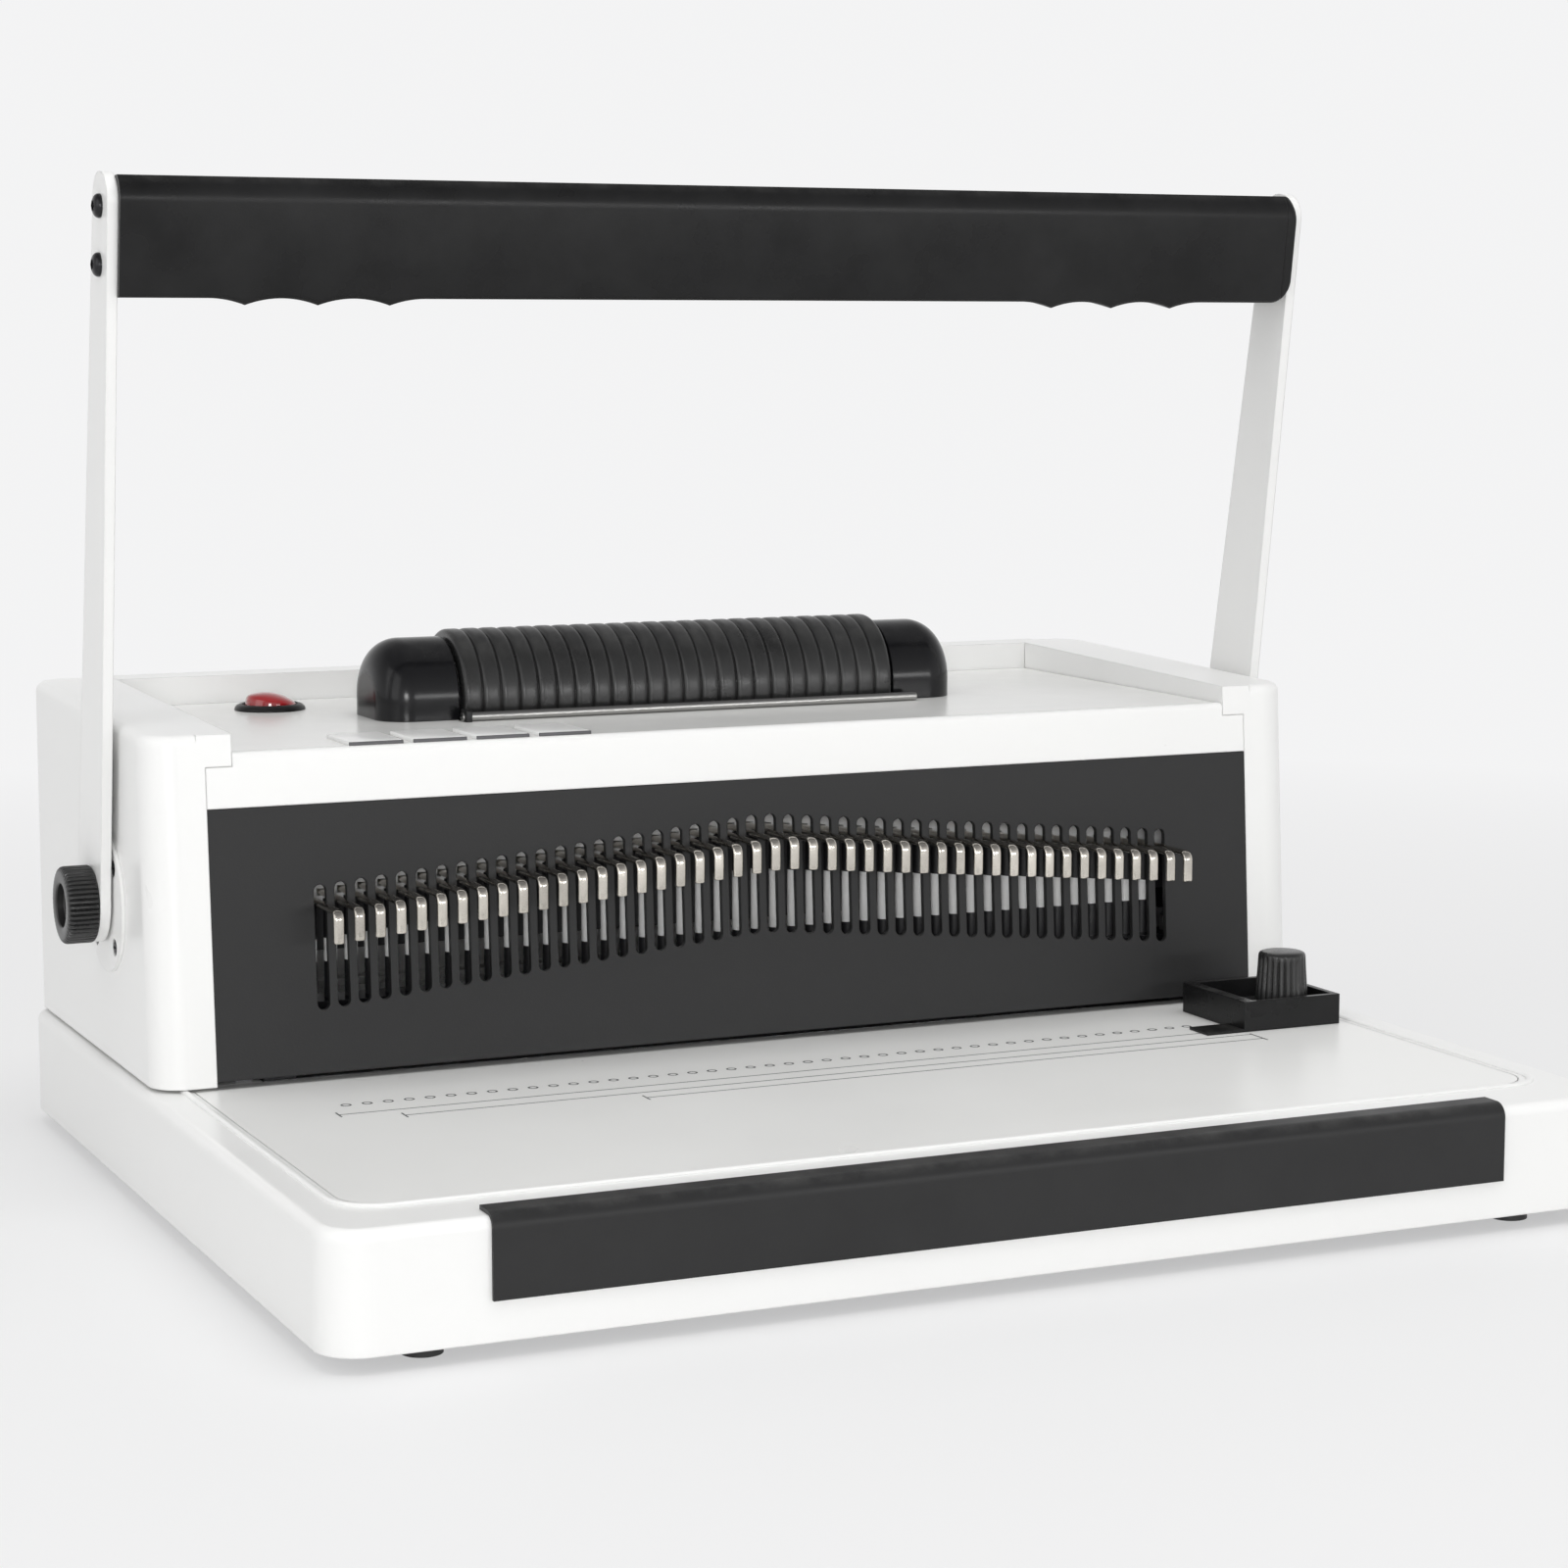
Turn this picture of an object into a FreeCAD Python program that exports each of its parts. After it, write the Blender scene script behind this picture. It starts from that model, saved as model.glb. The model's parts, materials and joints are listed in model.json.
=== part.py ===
import FreeCAD, Part
import math
import os
import re

import Sketcher
from FreeCAD import Placement, Rotation, Vector

# Coil punch-and-bind machine, in millimetres. +Z is up and -Y faces the user.
# The origin is on the floor, under the middle of the base.

SIZES = {
    # base
    "base_width": 393,
    "base_depth": 328,
    "base_height": 32.4,
    "base_wall": 2.5,
    "base_corner": 12,
    "base_edge": 3,
    "deck_thick": 3,
    "bottom_thick": 1.5,
    "foot_height": 4.6,
    "foot_diameter": 11,
    "foot_inset_side": 29.5,
    "foot_inset_end": 15,
    "table_inset": 14,
    "table_margin": 25,
    "table_thick": 2,
    "table_corner": 12,
    "trim_length": 306.6,
    "trim_thick": 1.2,
    "trim_drop": 21.4,
    "trim_lap": 9,
    # chip drawer
    "drawer_length": 356,
    "drawer_width": 40,
    "drawer_offset": 1,
    "drawer_height": 12.6,
    "drawer_wall": 1.5,
    "drawer_pull": 4,
    "rail_thick": 2,
    "rail_height": 10,
    # head
    "panel_setback": 173,
    "panel_lean": 3.83,
    "panel_height": 81.4,
    "panel_thick": 2,
    "head_inset": 2.5,
    "head_depth": 155,
    "head_gap": 1,
    "rear_foot": 6,
    "head_corner": 10,
    "head_edge": 3,
    "cheek_width": 18,
    "cover_wall": 2.5,
    "top_height": 98.5,
    "top_plate_thick": 2,
    "rim_width": 8,
    "rim_front": 5.5,
    "rim_rear": 9.5,
    "upstand_depth": 8.5,
    # punch row
    "hole_pitch": 6.35,
    "hole_count": 46,
    "slot_width": 3.9,
    "slot_length": 37.2,
    "slot_low": 20.3,
    "chevron_rise": 13.1,
    "pin_setback": 15,
    "pin_diameter": 4,
    "pin_rest": 1,
    "punch_stroke": 20,
    "throat_gap": 2.5,
    "throat_width": 300,
    "stop_distance": 4.6,
    "die_thick": 10,
    "die_front_land": 7.5,
    "die_rear_land": 10.5,
    "die_end_land": 10,
    "guide_height": 20,
    "guide_front_land": 7,
    "guide_rear_land": 6,
    "die_screw": 5,
    "die_screw_head": 8.5,
    "die_screw_head_thick": 5,
    "pull_width": 3.2,
    "pull_thick": 1.8,
    "pull_reach": 18.8,
    "pull_drop": 10,
    "pull_bend": 3,
    "pull_below_slot_top": 5.8,
    # press bar
    "press_thick": 6,
    "press_below": 17,
    "press_above": 13,
    "press_behind_pins": 7,
    "bar_guide_lap": 0.7,
    "bar_guide_wall": 2,
    "bar_guide_grip": 7,
    "yoke_offset": 104,
    "yoke_thick": 8,
    "yoke_prong": 5.5,
    "crank_thick": 8,
    "crank_pin": 8,
    "crank_hub": 26,
    "crank_tip": 13,
    "crank_play": 0.5,
    "spring_offset": 60,
    "spring_diameter": 9,
    "spring_bore": 6,
    "peg_diameter": 4,
    "peg_drop": 5,
    # frames
    "frame_inset": 13,
    "frame_thick": 5,
    "frame_clear": 0.5,
    "frame_depth": 103.5,
    "frame_foot": 7,
    "frame_foot_thick": 3,
    "frame_foot_inset": 15,
    "frame_screw_inset": 22.5,
    "tie_drop": 10.5,
    "tie_height": 6,
    "tie_depth": 9,
    "rear_tie_inset": 2,
    "rear_tie_rise": 23,
    "rear_tie_depth": 8,
    "bush_diameter": 22,
    "bush_flange": 27,
    "bush_flange_thick": 2,
    "small_screw": 3,
    "small_head": 6,
    "small_head_thick": 2,
    "boss_diameter": 9,
    "boss_inset": 7.5,
    "boss_setback": 17,
    "screw_grip": 15,
    # handle
    "pivot_setback": 53.5,
    "pivot_height": 49.2,
    "handle_swing": 70,
    "shaft_diameter": 14,
    "shaft_end": 12,
    "shaft_stud": 8,
    "stud_length": 6,
    "arm_gap": 2,
    "arm_thick": 3.2,
    "arm_length": 218.8,
    "arm_low_width": 29.2,
    "arm_heel_back": 3.4,
    "arm_heel_rise": 2,
    "arm_heel_lap": 0.3,
    "arm_top_width": 17.2,
    "arm_top_ahead": 0.9,
    "arm_top_round": 8,
    "arm_lean": 8.5,
    "grip_height": 34.7,
    "grip_front": 11.7,
    "grip_rear": 10.3,
    "grip_top_round": 5,
    "grip_edge": 3,
    "ridge_height": 2,
    "ridge_radius": 5,
    "ridge_spacing": 22,
    "ridge_first_left": 114.7,
    "ridge_first_right": 107.5,
    "ridge_count": 3,
    "grip_screw": 4,
    "grip_screw_head": 7,
    "grip_screw_head_thick": 2.2,
    "grip_screw_length": 14,
    "grip_screw_low": 192.3,
    "grip_screw_spacing": 16.8,
    "knob_diameter": 23.5,
    "knob_thick": 9.5,
    "knob_recess": 13,
    "knob_recess_depth": 3,
    "knob_flutes": 32,
    "flute_diameter": 1.6,
    "flange_diameter": 42,
    "flange_thick": 1.2,
    "flange_screw_head": 5,
    "flange_screw_side": 11.2,
    "flange_screw_rise": 12,
    # roller drive
    "roller_setback": 81.5,
    "roller_rise": 5.9,
    "roller_diameter": 43,
    "roller_length": 150.7,
    "roller_ribs": 24,
    "roller_shift": 2.2,
    "rib_depth": 1.3,
    "rib_gap": 0.7,
    "rib_slope": 0.3,
    "sleeve_bore": 32,
    "roller_shaft_end": 6,
    "shaft_end_inset": 6.5,
    "roller_gap": 1,
    "housing_step": 2.3,
    "housing_length": 24.6,
    "housing_round": 11,
    "housing_wall": 2.2,
    "housing_end_wall": 2.5,
    "roller_bush": 10,
    "roller_bush_length": 4.5,
    "guide_bar_diameter": 3,
    "guide_bar_clear": 3,
    "guide_bar_half": 79.6,
    "roller_pulley": 22,
    "motor_pulley": 12,
    "pulley_flange": 2,
    "pulley_flange_thick": 1,
    "belt_width": 4,
    "belt_thick": 1.5,
    "belt_inset": 10.5,
    "motor_setback": 91,
    "motor_rise": 58,
    "motor_diameter": 36,
    "motor_length": 60,
    "motor_boss": 10,
    "motor_boss_length": 5,
    "motor_shaft": 5,
    "bracket_inset": 22,
    "bracket_thick": 3,
    "bracket_margin": 2,
    # switch and inlet
    "switch_inset": 44,
    "switch_setback": 118.5,
    "bezel_diameter": 23,
    "bezel_thick": 2,
    "barrel_diameter": 20,
    "barrel_length": 22,
    "barrel_well": 8,
    "rocker_diameter": 16.4,
    "rocker_rise": 5.5,
    "rocker_skirt": 3,
    "rocker_dome": 16,
    "rocker_tilt": 10,
    "rocker_gap": 0.8,
    "inlet_inset": 66,
    "inlet_rise": 33,
    "inlet_width": 23,
    "inlet_height": 17,
    "inlet_depth": 16,
    "inlet_lip": 2.5,
    "blade_setback": 5,
    "blade_width": 2,
    "blade_height": 3,
    "blade_drop": 1,
    "vent_count": 9,
    "vent_pitch": 9,
    "vent_width": 3,
    "vent_height": 26,
    # edge guide
    "guide_inset": 32.5,
    "guide_width": 35.5,
    "guide_ahead": 49.5,
    "guide_depth": 37.7,
    "guide_block_height": 9.6,
    "guide_floor": 3.4,
    "guide_left_wall": 4,
    "guide_rim": 2,
    "tongue_length": 13.5,
    "tongue_depth": 11,
    "tongue_thick": 0.8,
    "guide_travel": 5,
    "guide_stud": 5,
    "stud_across": 21.5,
    "stud_deep": 12.5,
    "clamp_size": 14,
    "clamp_thick": 3,
    "guide_knob_diameter": 17.4,
    "guide_knob_height": 19,
    "guide_knob_top": 13.3,
    # clearances
    "fit_gap": 0.3,
    "seam_gap": 0.1,
    "cut_over": 1,
    "running_gap": 0.05,
    "slide_gap": 0.2,
    "screw_gap": 0.1,
}

PLACES = {
    "base_half": "base_width / 2",
    "depth_half": "base_depth / 2",
    "base_top": "foot_height + base_height",
    "deck_low": "base_top - deck_thick",
    "plate_top": "foot_height + bottom_thick",
    "table_half": "base_half - table_inset",
    "table_front": "table_margin - depth_half",
    "panel_y": "panel_setback - depth_half",
    "head_low": "base_top + head_gap",
    "head_half": "base_half - head_inset",
    "head_rear": "panel_y + head_depth",
    "cheek_in": "head_half - cheek_width",
    "rim_in": "cheek_in - rim_width",
    "top_face": "base_top + top_height",
    "deck_face": "top_face - top_plate_thick",
    "deck_under": "deck_face - top_plate_thick",
    "rim_front_z": "top_face + rim_front",
    "rim_rear_z": "top_face + rim_rear",
    "rim_front_y": "panel_y + (rim_front_z - head_low) * tan(panel_lean)",
    "apron_y": "panel_y + (top_face - head_low) * tan(panel_lean)",
    "upstand_rear": "head_rear - cover_wall",
    "upstand_front": "upstand_rear - upstand_depth",
    "pin_y": "panel_y + pin_setback",
    "pin_hole": "pin_diameter + 2 * running_gap",
    "half_count": "hole_count / 2",
    "row_half": "(hole_count - 1) * hole_pitch / 2",
    "chevron_step": "chevron_rise / (half_count - 0.5)",
    "die_front": "pin_y - die_front_land",
    "die_rear": "pin_y + die_rear_land",
    "die_half": "throat_width / 2 + die_end_land",
    "throat_top": "base_top + throat_gap",
    "guide_top": "throat_top + guide_height",
    "die_screw_x": "(throat_width / 2 + die_half) / 2",
    "pull_low_z": "head_low + (slot_low + slot_length - pull_below_slot_top) * cos(panel_lean)",
    "pull_high_z": "pull_low_z + chevron_rise * cos(panel_lean)",
    "press_front": "pin_y + press_behind_pins",
    "press_rear": "press_front + press_thick",
    "press_low": "pull_low_z - press_below",
    "press_high": "pull_high_z + press_above",
    "frame_in": "cheek_in - frame_inset",
    "frame_out": "frame_in + frame_thick",
    "frame_front": "apron_y + cover_wall + frame_clear",
    "frame_rear": "frame_front + frame_depth",
    "frame_top": "deck_under",
    "press_half": "frame_in - slide_gap - bar_guide_wall",
    "pivot_y": "panel_y + pivot_setback",
    "pivot_z": "base_top + pivot_height",
    "half_swing": "handle_swing / 2",
    "crank_reach": "punch_stroke / 2 / sin(half_swing)",
    "crank_y": "pivot_y - crank_reach * cos(half_swing)",
    "crank_z": "pivot_z + punch_stroke / 2",
    "yoke_in": "yoke_offset - yoke_thick / 2",
    "yoke_out": "yoke_offset + yoke_thick / 2",
    "yoke_rear": "crank_y + crank_pin / 2 + crank_play",
    "yoke_slot_half": "crank_pin / 2 + crank_play",
    "tie_low": "frame_top - tie_drop",
    "bar_guide_high": "tie_low + bar_guide_lap",
    "tie_y": "press_rear + slide_gap + bar_guide_wall",
    "peg_z": "press_low + peg_drop",
    "spring_y": "press_rear + 6",
    "rear_tie_z": "base_top + rear_tie_rise",
    "rear_tie_y": "frame_rear - rear_tie_inset",
    "arm_in": "head_half + arm_gap",
    "arm_out": "arm_in + arm_thick",
    "knob_out": "arm_out + knob_thick",
    "roller_y": "panel_y + roller_setback",
    "roller_z": "top_face + roller_rise",
    "roller_half": "roller_length / 2",
    "housing_radius": "roller_diameter / 2 - housing_step",
    "housing_in": "roller_half + roller_gap",
    "housing_out": "housing_in + housing_length",
    "shaft_reach": "housing_out - shaft_end_inset",
    "guide_bar_y": "roller_y - roller_diameter / 2 - guide_bar_clear",
    "belt_x": "housing_in + belt_inset - roller_shift",
    "bracket_x": "belt_x - bracket_inset",
    "motor_y": "panel_y + motor_setback",
    "motor_z": "base_top + motor_rise",
    "switch_x": "switch_inset - rim_in",
    "switch_y": "panel_y + switch_setback",
    "inlet_x": "cheek_in - inlet_inset",
    "inlet_z": "base_top + inlet_rise",
    "drawer_low": "plate_top + fit_gap",
    "drawer_high": "drawer_low + drawer_height",
    "drawer_front": "pin_y + drawer_offset - drawer_width / 2",
    "drawer_rear": "drawer_front + drawer_width",
    "drawer_end": "base_half - drawer_length",
    "guide_left": "cheek_in - guide_inset",
    "guide_front": "panel_y - guide_ahead",
    "guide_stud_x": "guide_left + stud_across",
    "guide_stud_y": "guide_front + stud_deep",
    "guide_low": "base_top + seam_gap",
    "knob_low": "guide_low + guide_floor + fit_gap",
}

os.makedirs("parts", exist_ok=True)
doc = FreeCAD.newDocument("coil_binding_machine")
nodes = []
WORD = re.compile(r"[a-z][a-z_]*")


def bound(text):
    """The expression with each size and place written as its sheet cell."""
    def cell(match):
        word = match.group(0)
        if word in SIZES:
            return "Sizes." + word
        if word in PLACES:
            return "Places." + word
        return word
    return WORD.sub(cell, str(text))


def fill_sheet(name, contents):
    """A sheet with one named cell per entry."""
    sheet = doc.addObject("Spreadsheet::Sheet", name)
    for row, (alias, content) in enumerate(contents.items(), 1):
        sheet.set(f"A{row}", alias)
        sheet.set(f"B{row}", content)
        sheet.setAlias(f"B{row}", alias)
    doc.recompute()
    return sheet


fill_sheet("Sizes", {alias: str(number) for alias, number in SIZES.items()})
places = fill_sheet("Places", {alias: "=" + bound(formula) for alias, formula in PLACES.items()})


def value(text):
    """The number that an expression has now."""
    return float(places.evalExpression(bound(text)))


def bind(thing, prop, text):
    thing.setExpression(prop, bound(text))


def node(thing, label):
    """Names a finished piece; its label is its file's name."""
    thing.Label = label
    nodes.append(thing)
    return thing


def mirrored(side, low, high):
    """The span from low to high on the right, or its mirror on the left."""
    return (low, high) if side == "right" else (f"-({high})", f"-({low})")


def handed(side, where):
    return where if side == "right" else f"-({where})"


def both_ways(half):
    return (f"-({half})", half)


def around(middle, half):
    return (f"{middle} - ({half})", f"{middle} + {half}")


def on_roller(span):
    """A span about the roller's middle, which stands a little to the left of the machine's."""
    return tuple(f"{end} - roller_shift" for end in span)


def past(low, high):
    """A cutting tool's span, which runs past both faces."""
    return (f"{low} - cut_over", f"{high} + cut_over")


def box(name, x, y, z):
    solid = doc.addObject("Part::Box", name)
    for prop, (low, high) in zip(("Length", "Width", "Height"), (x, y, z)):
        bind(solid, prop, f"({high}) - ({low})")
    for axis, (low, _) in zip("xyz", (x, y, z)):
        bind(solid, "Placement.Base." + axis, low)
    return solid


TURN = {"x": Rotation(Vector(0, 1, 0), 90), "y": Rotation(Vector(1, 0, 0), -90), "z": Rotation()}


def cylinder(name, axis, diameter, along, across):
    """A round bar along one axis; across gives its centre on the other two axes."""
    solid = doc.addObject("Part::Cylinder", name)
    bind(solid, "Radius", f"({diameter}) / 2")
    bind(solid, "Height", f"({along[1]}) - ({along[0]})")
    solid.Placement = Placement(Vector(), TURN[axis])
    where = dict(zip([letter for letter in "xyz" if letter != axis], across))
    where[axis] = along[0]
    for letter, text in where.items():
        bind(solid, "Placement.Base." + letter, text)
    return solid


def fuse(name, solids):
    joined = doc.addObject("Part::MultiFuse", name)
    joined.Shapes = solids
    joined.Refine = True
    return joined


def cut(name, base, tools):
    remainder = doc.addObject("Part::Cut", name)
    remainder.Base = base
    remainder.Tool = tools[0] if len(tools) == 1 else fuse(name + "_tools", tools)
    return remainder


def group(name, solids):
    """Separate solids that share one node."""
    together = doc.addObject("Part::Compound", name)
    together.Links = solids
    return together


PLANE = {"x": "YZ_Plane", "y": "XZ_Plane", "z": "XY_Plane"}


def origin_plane(body, role):
    return next(feature for feature in body.Origin.OriginFeatures if feature.Role == role)


def new_sketch(body, name, axis, offset):
    """A sketch square to an axis of its body, moved along it."""
    sketch = body.newObject("Sketcher::SketchObject", name)
    sketch.AttachmentSupport = [(origin_plane(body, PLANE[axis]), "")]
    sketch.MapMode = "FlatFace"
    bind(sketch, "AttachmentOffset.Base.z", offset)
    return sketch


def pin_point(sketch, geometry, vertex, corner):
    """Ties a sketch point to a pair of expressions."""
    for kind, text in zip(("DistanceX", "DistanceY"), corner):
        rule = Sketcher.Constraint(kind, -1, 1, geometry, vertex, value(text))
        bind(sketch, f"Constraints[{sketch.addConstraint(rule)}]", text)


def draw_outline(sketch, corners):
    """A closed outline of straight lines, each corner a pair of expressions."""
    points = [Vector(value(u), value(v), 0) for u, v in corners]
    for start, end in zip(points, points[1:] + points[:1]):
        sketch.addGeometry(Part.LineSegment(start, end))
    for line in range(len(points)):
        sketch.addConstraint(Sketcher.Constraint("Coincident", line, 2, (line + 1) % len(points), 1))
    for line, corner in enumerate(corners):
        pin_point(sketch, line, 1, corner)


def draw_circle(sketch, diameter, centre):
    circle = Part.Circle(Vector(value(centre[0]), value(centre[1]), 0), Vector(0, 0, 1), value(diameter) / 2)
    index = sketch.addGeometry(circle)
    rule = sketch.addConstraint(Sketcher.Constraint("Diameter", index, value(diameter)))
    bind(sketch, f"Constraints[{rule}]", diameter)
    pin_point(sketch, index, 3, centre)


def pad(body, sketch, length):
    feature = body.newObject("PartDesign::Pad", sketch.Name + "_pad")
    feature.Profile = sketch
    bind(feature, "Length", length)
    return feature


def prism(name, axis, corners, along):
    """A body whose outline, square to an axis, is padded along it."""
    body = doc.addObject("PartDesign::Body", name)
    start = along[0] if axis != "y" else f"-({along[1]})"
    sketch = new_sketch(body, name + "_outline", axis, start)
    draw_outline(sketch, corners)
    pad(body, sketch, f"({along[1]}) - ({along[0]})")
    return body


def rectangle(across, up):
    return [(across[0], up[0]), (across[1], up[0]), (across[1], up[1]), (across[0], up[1])]


def round_edges(body, radius, wanted):
    """Rounds the edges of the body's last feature that the test picks."""
    doc.recompute()
    base = body.Tip
    edges = [f"Edge{index}" for index, edge in enumerate(base.Shape.Edges, 1) if wanted(edge)]
    fillet = body.newObject("PartDesign::Fillet", base.Name + "_round")
    fillet.Base = (base, edges)
    bind(fillet, "Radius", radius)
    doc.recompute()


def near(number, text):
    return abs(number - value(text)) < 1e-4


def runs_along(edge, axis):
    """True for a straight edge along an axis."""
    ends = edge.Vertexes
    if len(ends) != 2 or edge.Curve.TypeId != "Part::GeomLine":
        return False
    direction = (ends[1].Point - ends[0].Point).normalize()
    return abs(getattr(direction, axis)) > 0.99


def lies_at(edge, axis, text):
    """True for an edge that lies in one plane square to an axis."""
    limits = edge.BoundBox
    low = getattr(limits, axis.upper() + "Min")
    high = getattr(limits, axis.upper() + "Max")
    return near(low, text) and near(high, text)


def through_pocket(body, sketch):
    """A pocket through the whole body, both ways from its sketch."""
    pocket = body.newObject("PartDesign::Pocket", sketch.Name + "_pocket")
    pocket.Profile = sketch
    pocket.Type = "ThroughAll"
    pocket.Midplane = True
    return pocket


def row_of_holes(body, name, diameter, height):
    """The punch row: round holes down through a body at the hole pitch."""
    sketch = new_sketch(body, name, "z", height)
    draw_circle(sketch, diameter, ("-row_half", "pin_y"))
    pocket = through_pocket(body, sketch)
    pattern = body.newObject("PartDesign::LinearPattern", name + "_row")
    pattern.Originals = [pocket]
    pattern.Direction = (sketch, ["H_Axis"])
    bind(pattern, "Length", "2 * row_half")
    bind(pattern, "Occurrences", "hole_count")
    body.Tip = pattern


def draw_arc(sketch, centre, diameter, angles, first, last):
    """An arc that joins the end of one line to the start of another."""
    middle = Vector(value(centre[0]), value(centre[1]), 0)
    circle = Part.Circle(middle, Vector(0, 0, 1), value(diameter) / 2)
    index = sketch.addGeometry(Part.ArcOfCircle(circle, *angles))
    sketch.addConstraint(Sketcher.Constraint("Coincident", index, 1, first, 2))
    sketch.addConstraint(Sketcher.Constraint("Coincident", index, 2, last, 1))
    rule = Sketcher.Constraint("DistanceY", -1, 1, index, 3, value(centre[1]))
    bind(sketch, f"Constraints[{sketch.addConstraint(rule)}]", centre[1])


def draw_slot(sketch, width, centre, low, high):
    """An upright slot; low and high are the centres of its round ends."""
    left = f"{centre} - {width} / 2"
    right = f"{centre} + {width} / 2"
    for start, end in (((right, low), (right, high)), ((left, high), (left, low))):
        points = [Vector(value(u), value(v), 0) for u, v in (start, end)]
        line = sketch.addGeometry(Part.LineSegment(*points))
        pin_point(sketch, line, 1, start)
        pin_point(sketch, line, 2, end)
    draw_arc(sketch, (centre, high), width, (0, math.pi), 0, 1)
    draw_arc(sketch, (centre, low), width, (math.pi, 2 * math.pi), 1, 0)


def chevron_of_slots(body, sketch, step):
    """Repeats a slot beside the middle at the hole pitch, stepping down to both ends."""
    pocket = through_pocket(body, sketch)
    slope = new_sketch(body, sketch.Name + "_slope", "y", "0")
    end = ("hole_pitch", f"-({step})")
    slope.addGeometry(Part.LineSegment(Vector(), Vector(value(end[0]), value(end[1]), 0)), True)
    slope.addConstraint(Sketcher.Constraint("Coincident", 0, 1, -1, 1))
    pin_point(slope, 0, 2, end)
    pattern = body.newObject("PartDesign::MultiTransform", sketch.Name + "_chevron")
    pattern.Originals = [pocket]
    half = body.newObject("PartDesign::LinearPattern", sketch.Name + "_half")
    half.Direction = (slope, ["Axis0"])
    bind(half, "Length", f"(half_count - 1) * sqrt(hole_pitch ^ 2 + ({step}) ^ 2)")
    bind(half, "Occurrences", "half_count")
    other = body.newObject("PartDesign::Mirrored", sketch.Name + "_mirror")
    other.MirrorPlane = (origin_plane(body, "YZ_Plane"), [""])
    pattern.Transformations = [half, other]
    body.Tip = pattern


SIDES = ("left", "right")
FOOT_X = "base_half - foot_inset_side"
FOOT_Y = "depth_half - foot_inset_end"


def corners(x, y):
    """The four places at plus and minus x and y."""
    return [(handed(side, x), handed(end, y)) for side in SIDES for end in SIDES]


def rounded_slab(name, half_x, half_y, along, radius):
    """An upright block with its four vertical edges rounded."""
    slab = prism(name, "z", rectangle(both_ways(half_x), both_ways(half_y)), along)
    round_edges(slab, radius, lambda edge: runs_along(edge, "z"))
    return slab


def screw(name, axis, diameter, shank, head_diameter, head, across):
    """A plain screw: its shank and its head along one axis."""
    return fuse(name, [
        cylinder(name + "_shank", axis, diameter, shank, across),
        cylinder(name + "_head", axis, head_diameter, head, across),
    ])


def clear_hole(name, axis, diameter, along, across):
    """A hole that clears a screw of the given diameter."""
    return cylinder(name, axis, f"{diameter} + 2 * screw_gap", along, across)


def guide_slot(name):
    """The slot in the table that the edge guide's stud slides along."""
    reach = "guide_travel + guide_stud / 2 + fit_gap"
    half = "guide_stud / 2 + slide_gap"
    return box(name, (f"guide_stud_x - ({reach})", f"guide_stud_x + ({reach})"),
               (f"guide_stud_y - ({half})", f"guide_stud_y + ({half})"), past("deck_low", "base_top"))


def frame_screw_places():
    """Two screws in the foot of each side frame."""
    across = "frame_out + frame_foot / 2"
    ends = ("frame_front + frame_screw_inset", "frame_rear - frame_screw_inset")
    return [(handed(side, across), end) for side in SIDES for end in ends]


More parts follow.
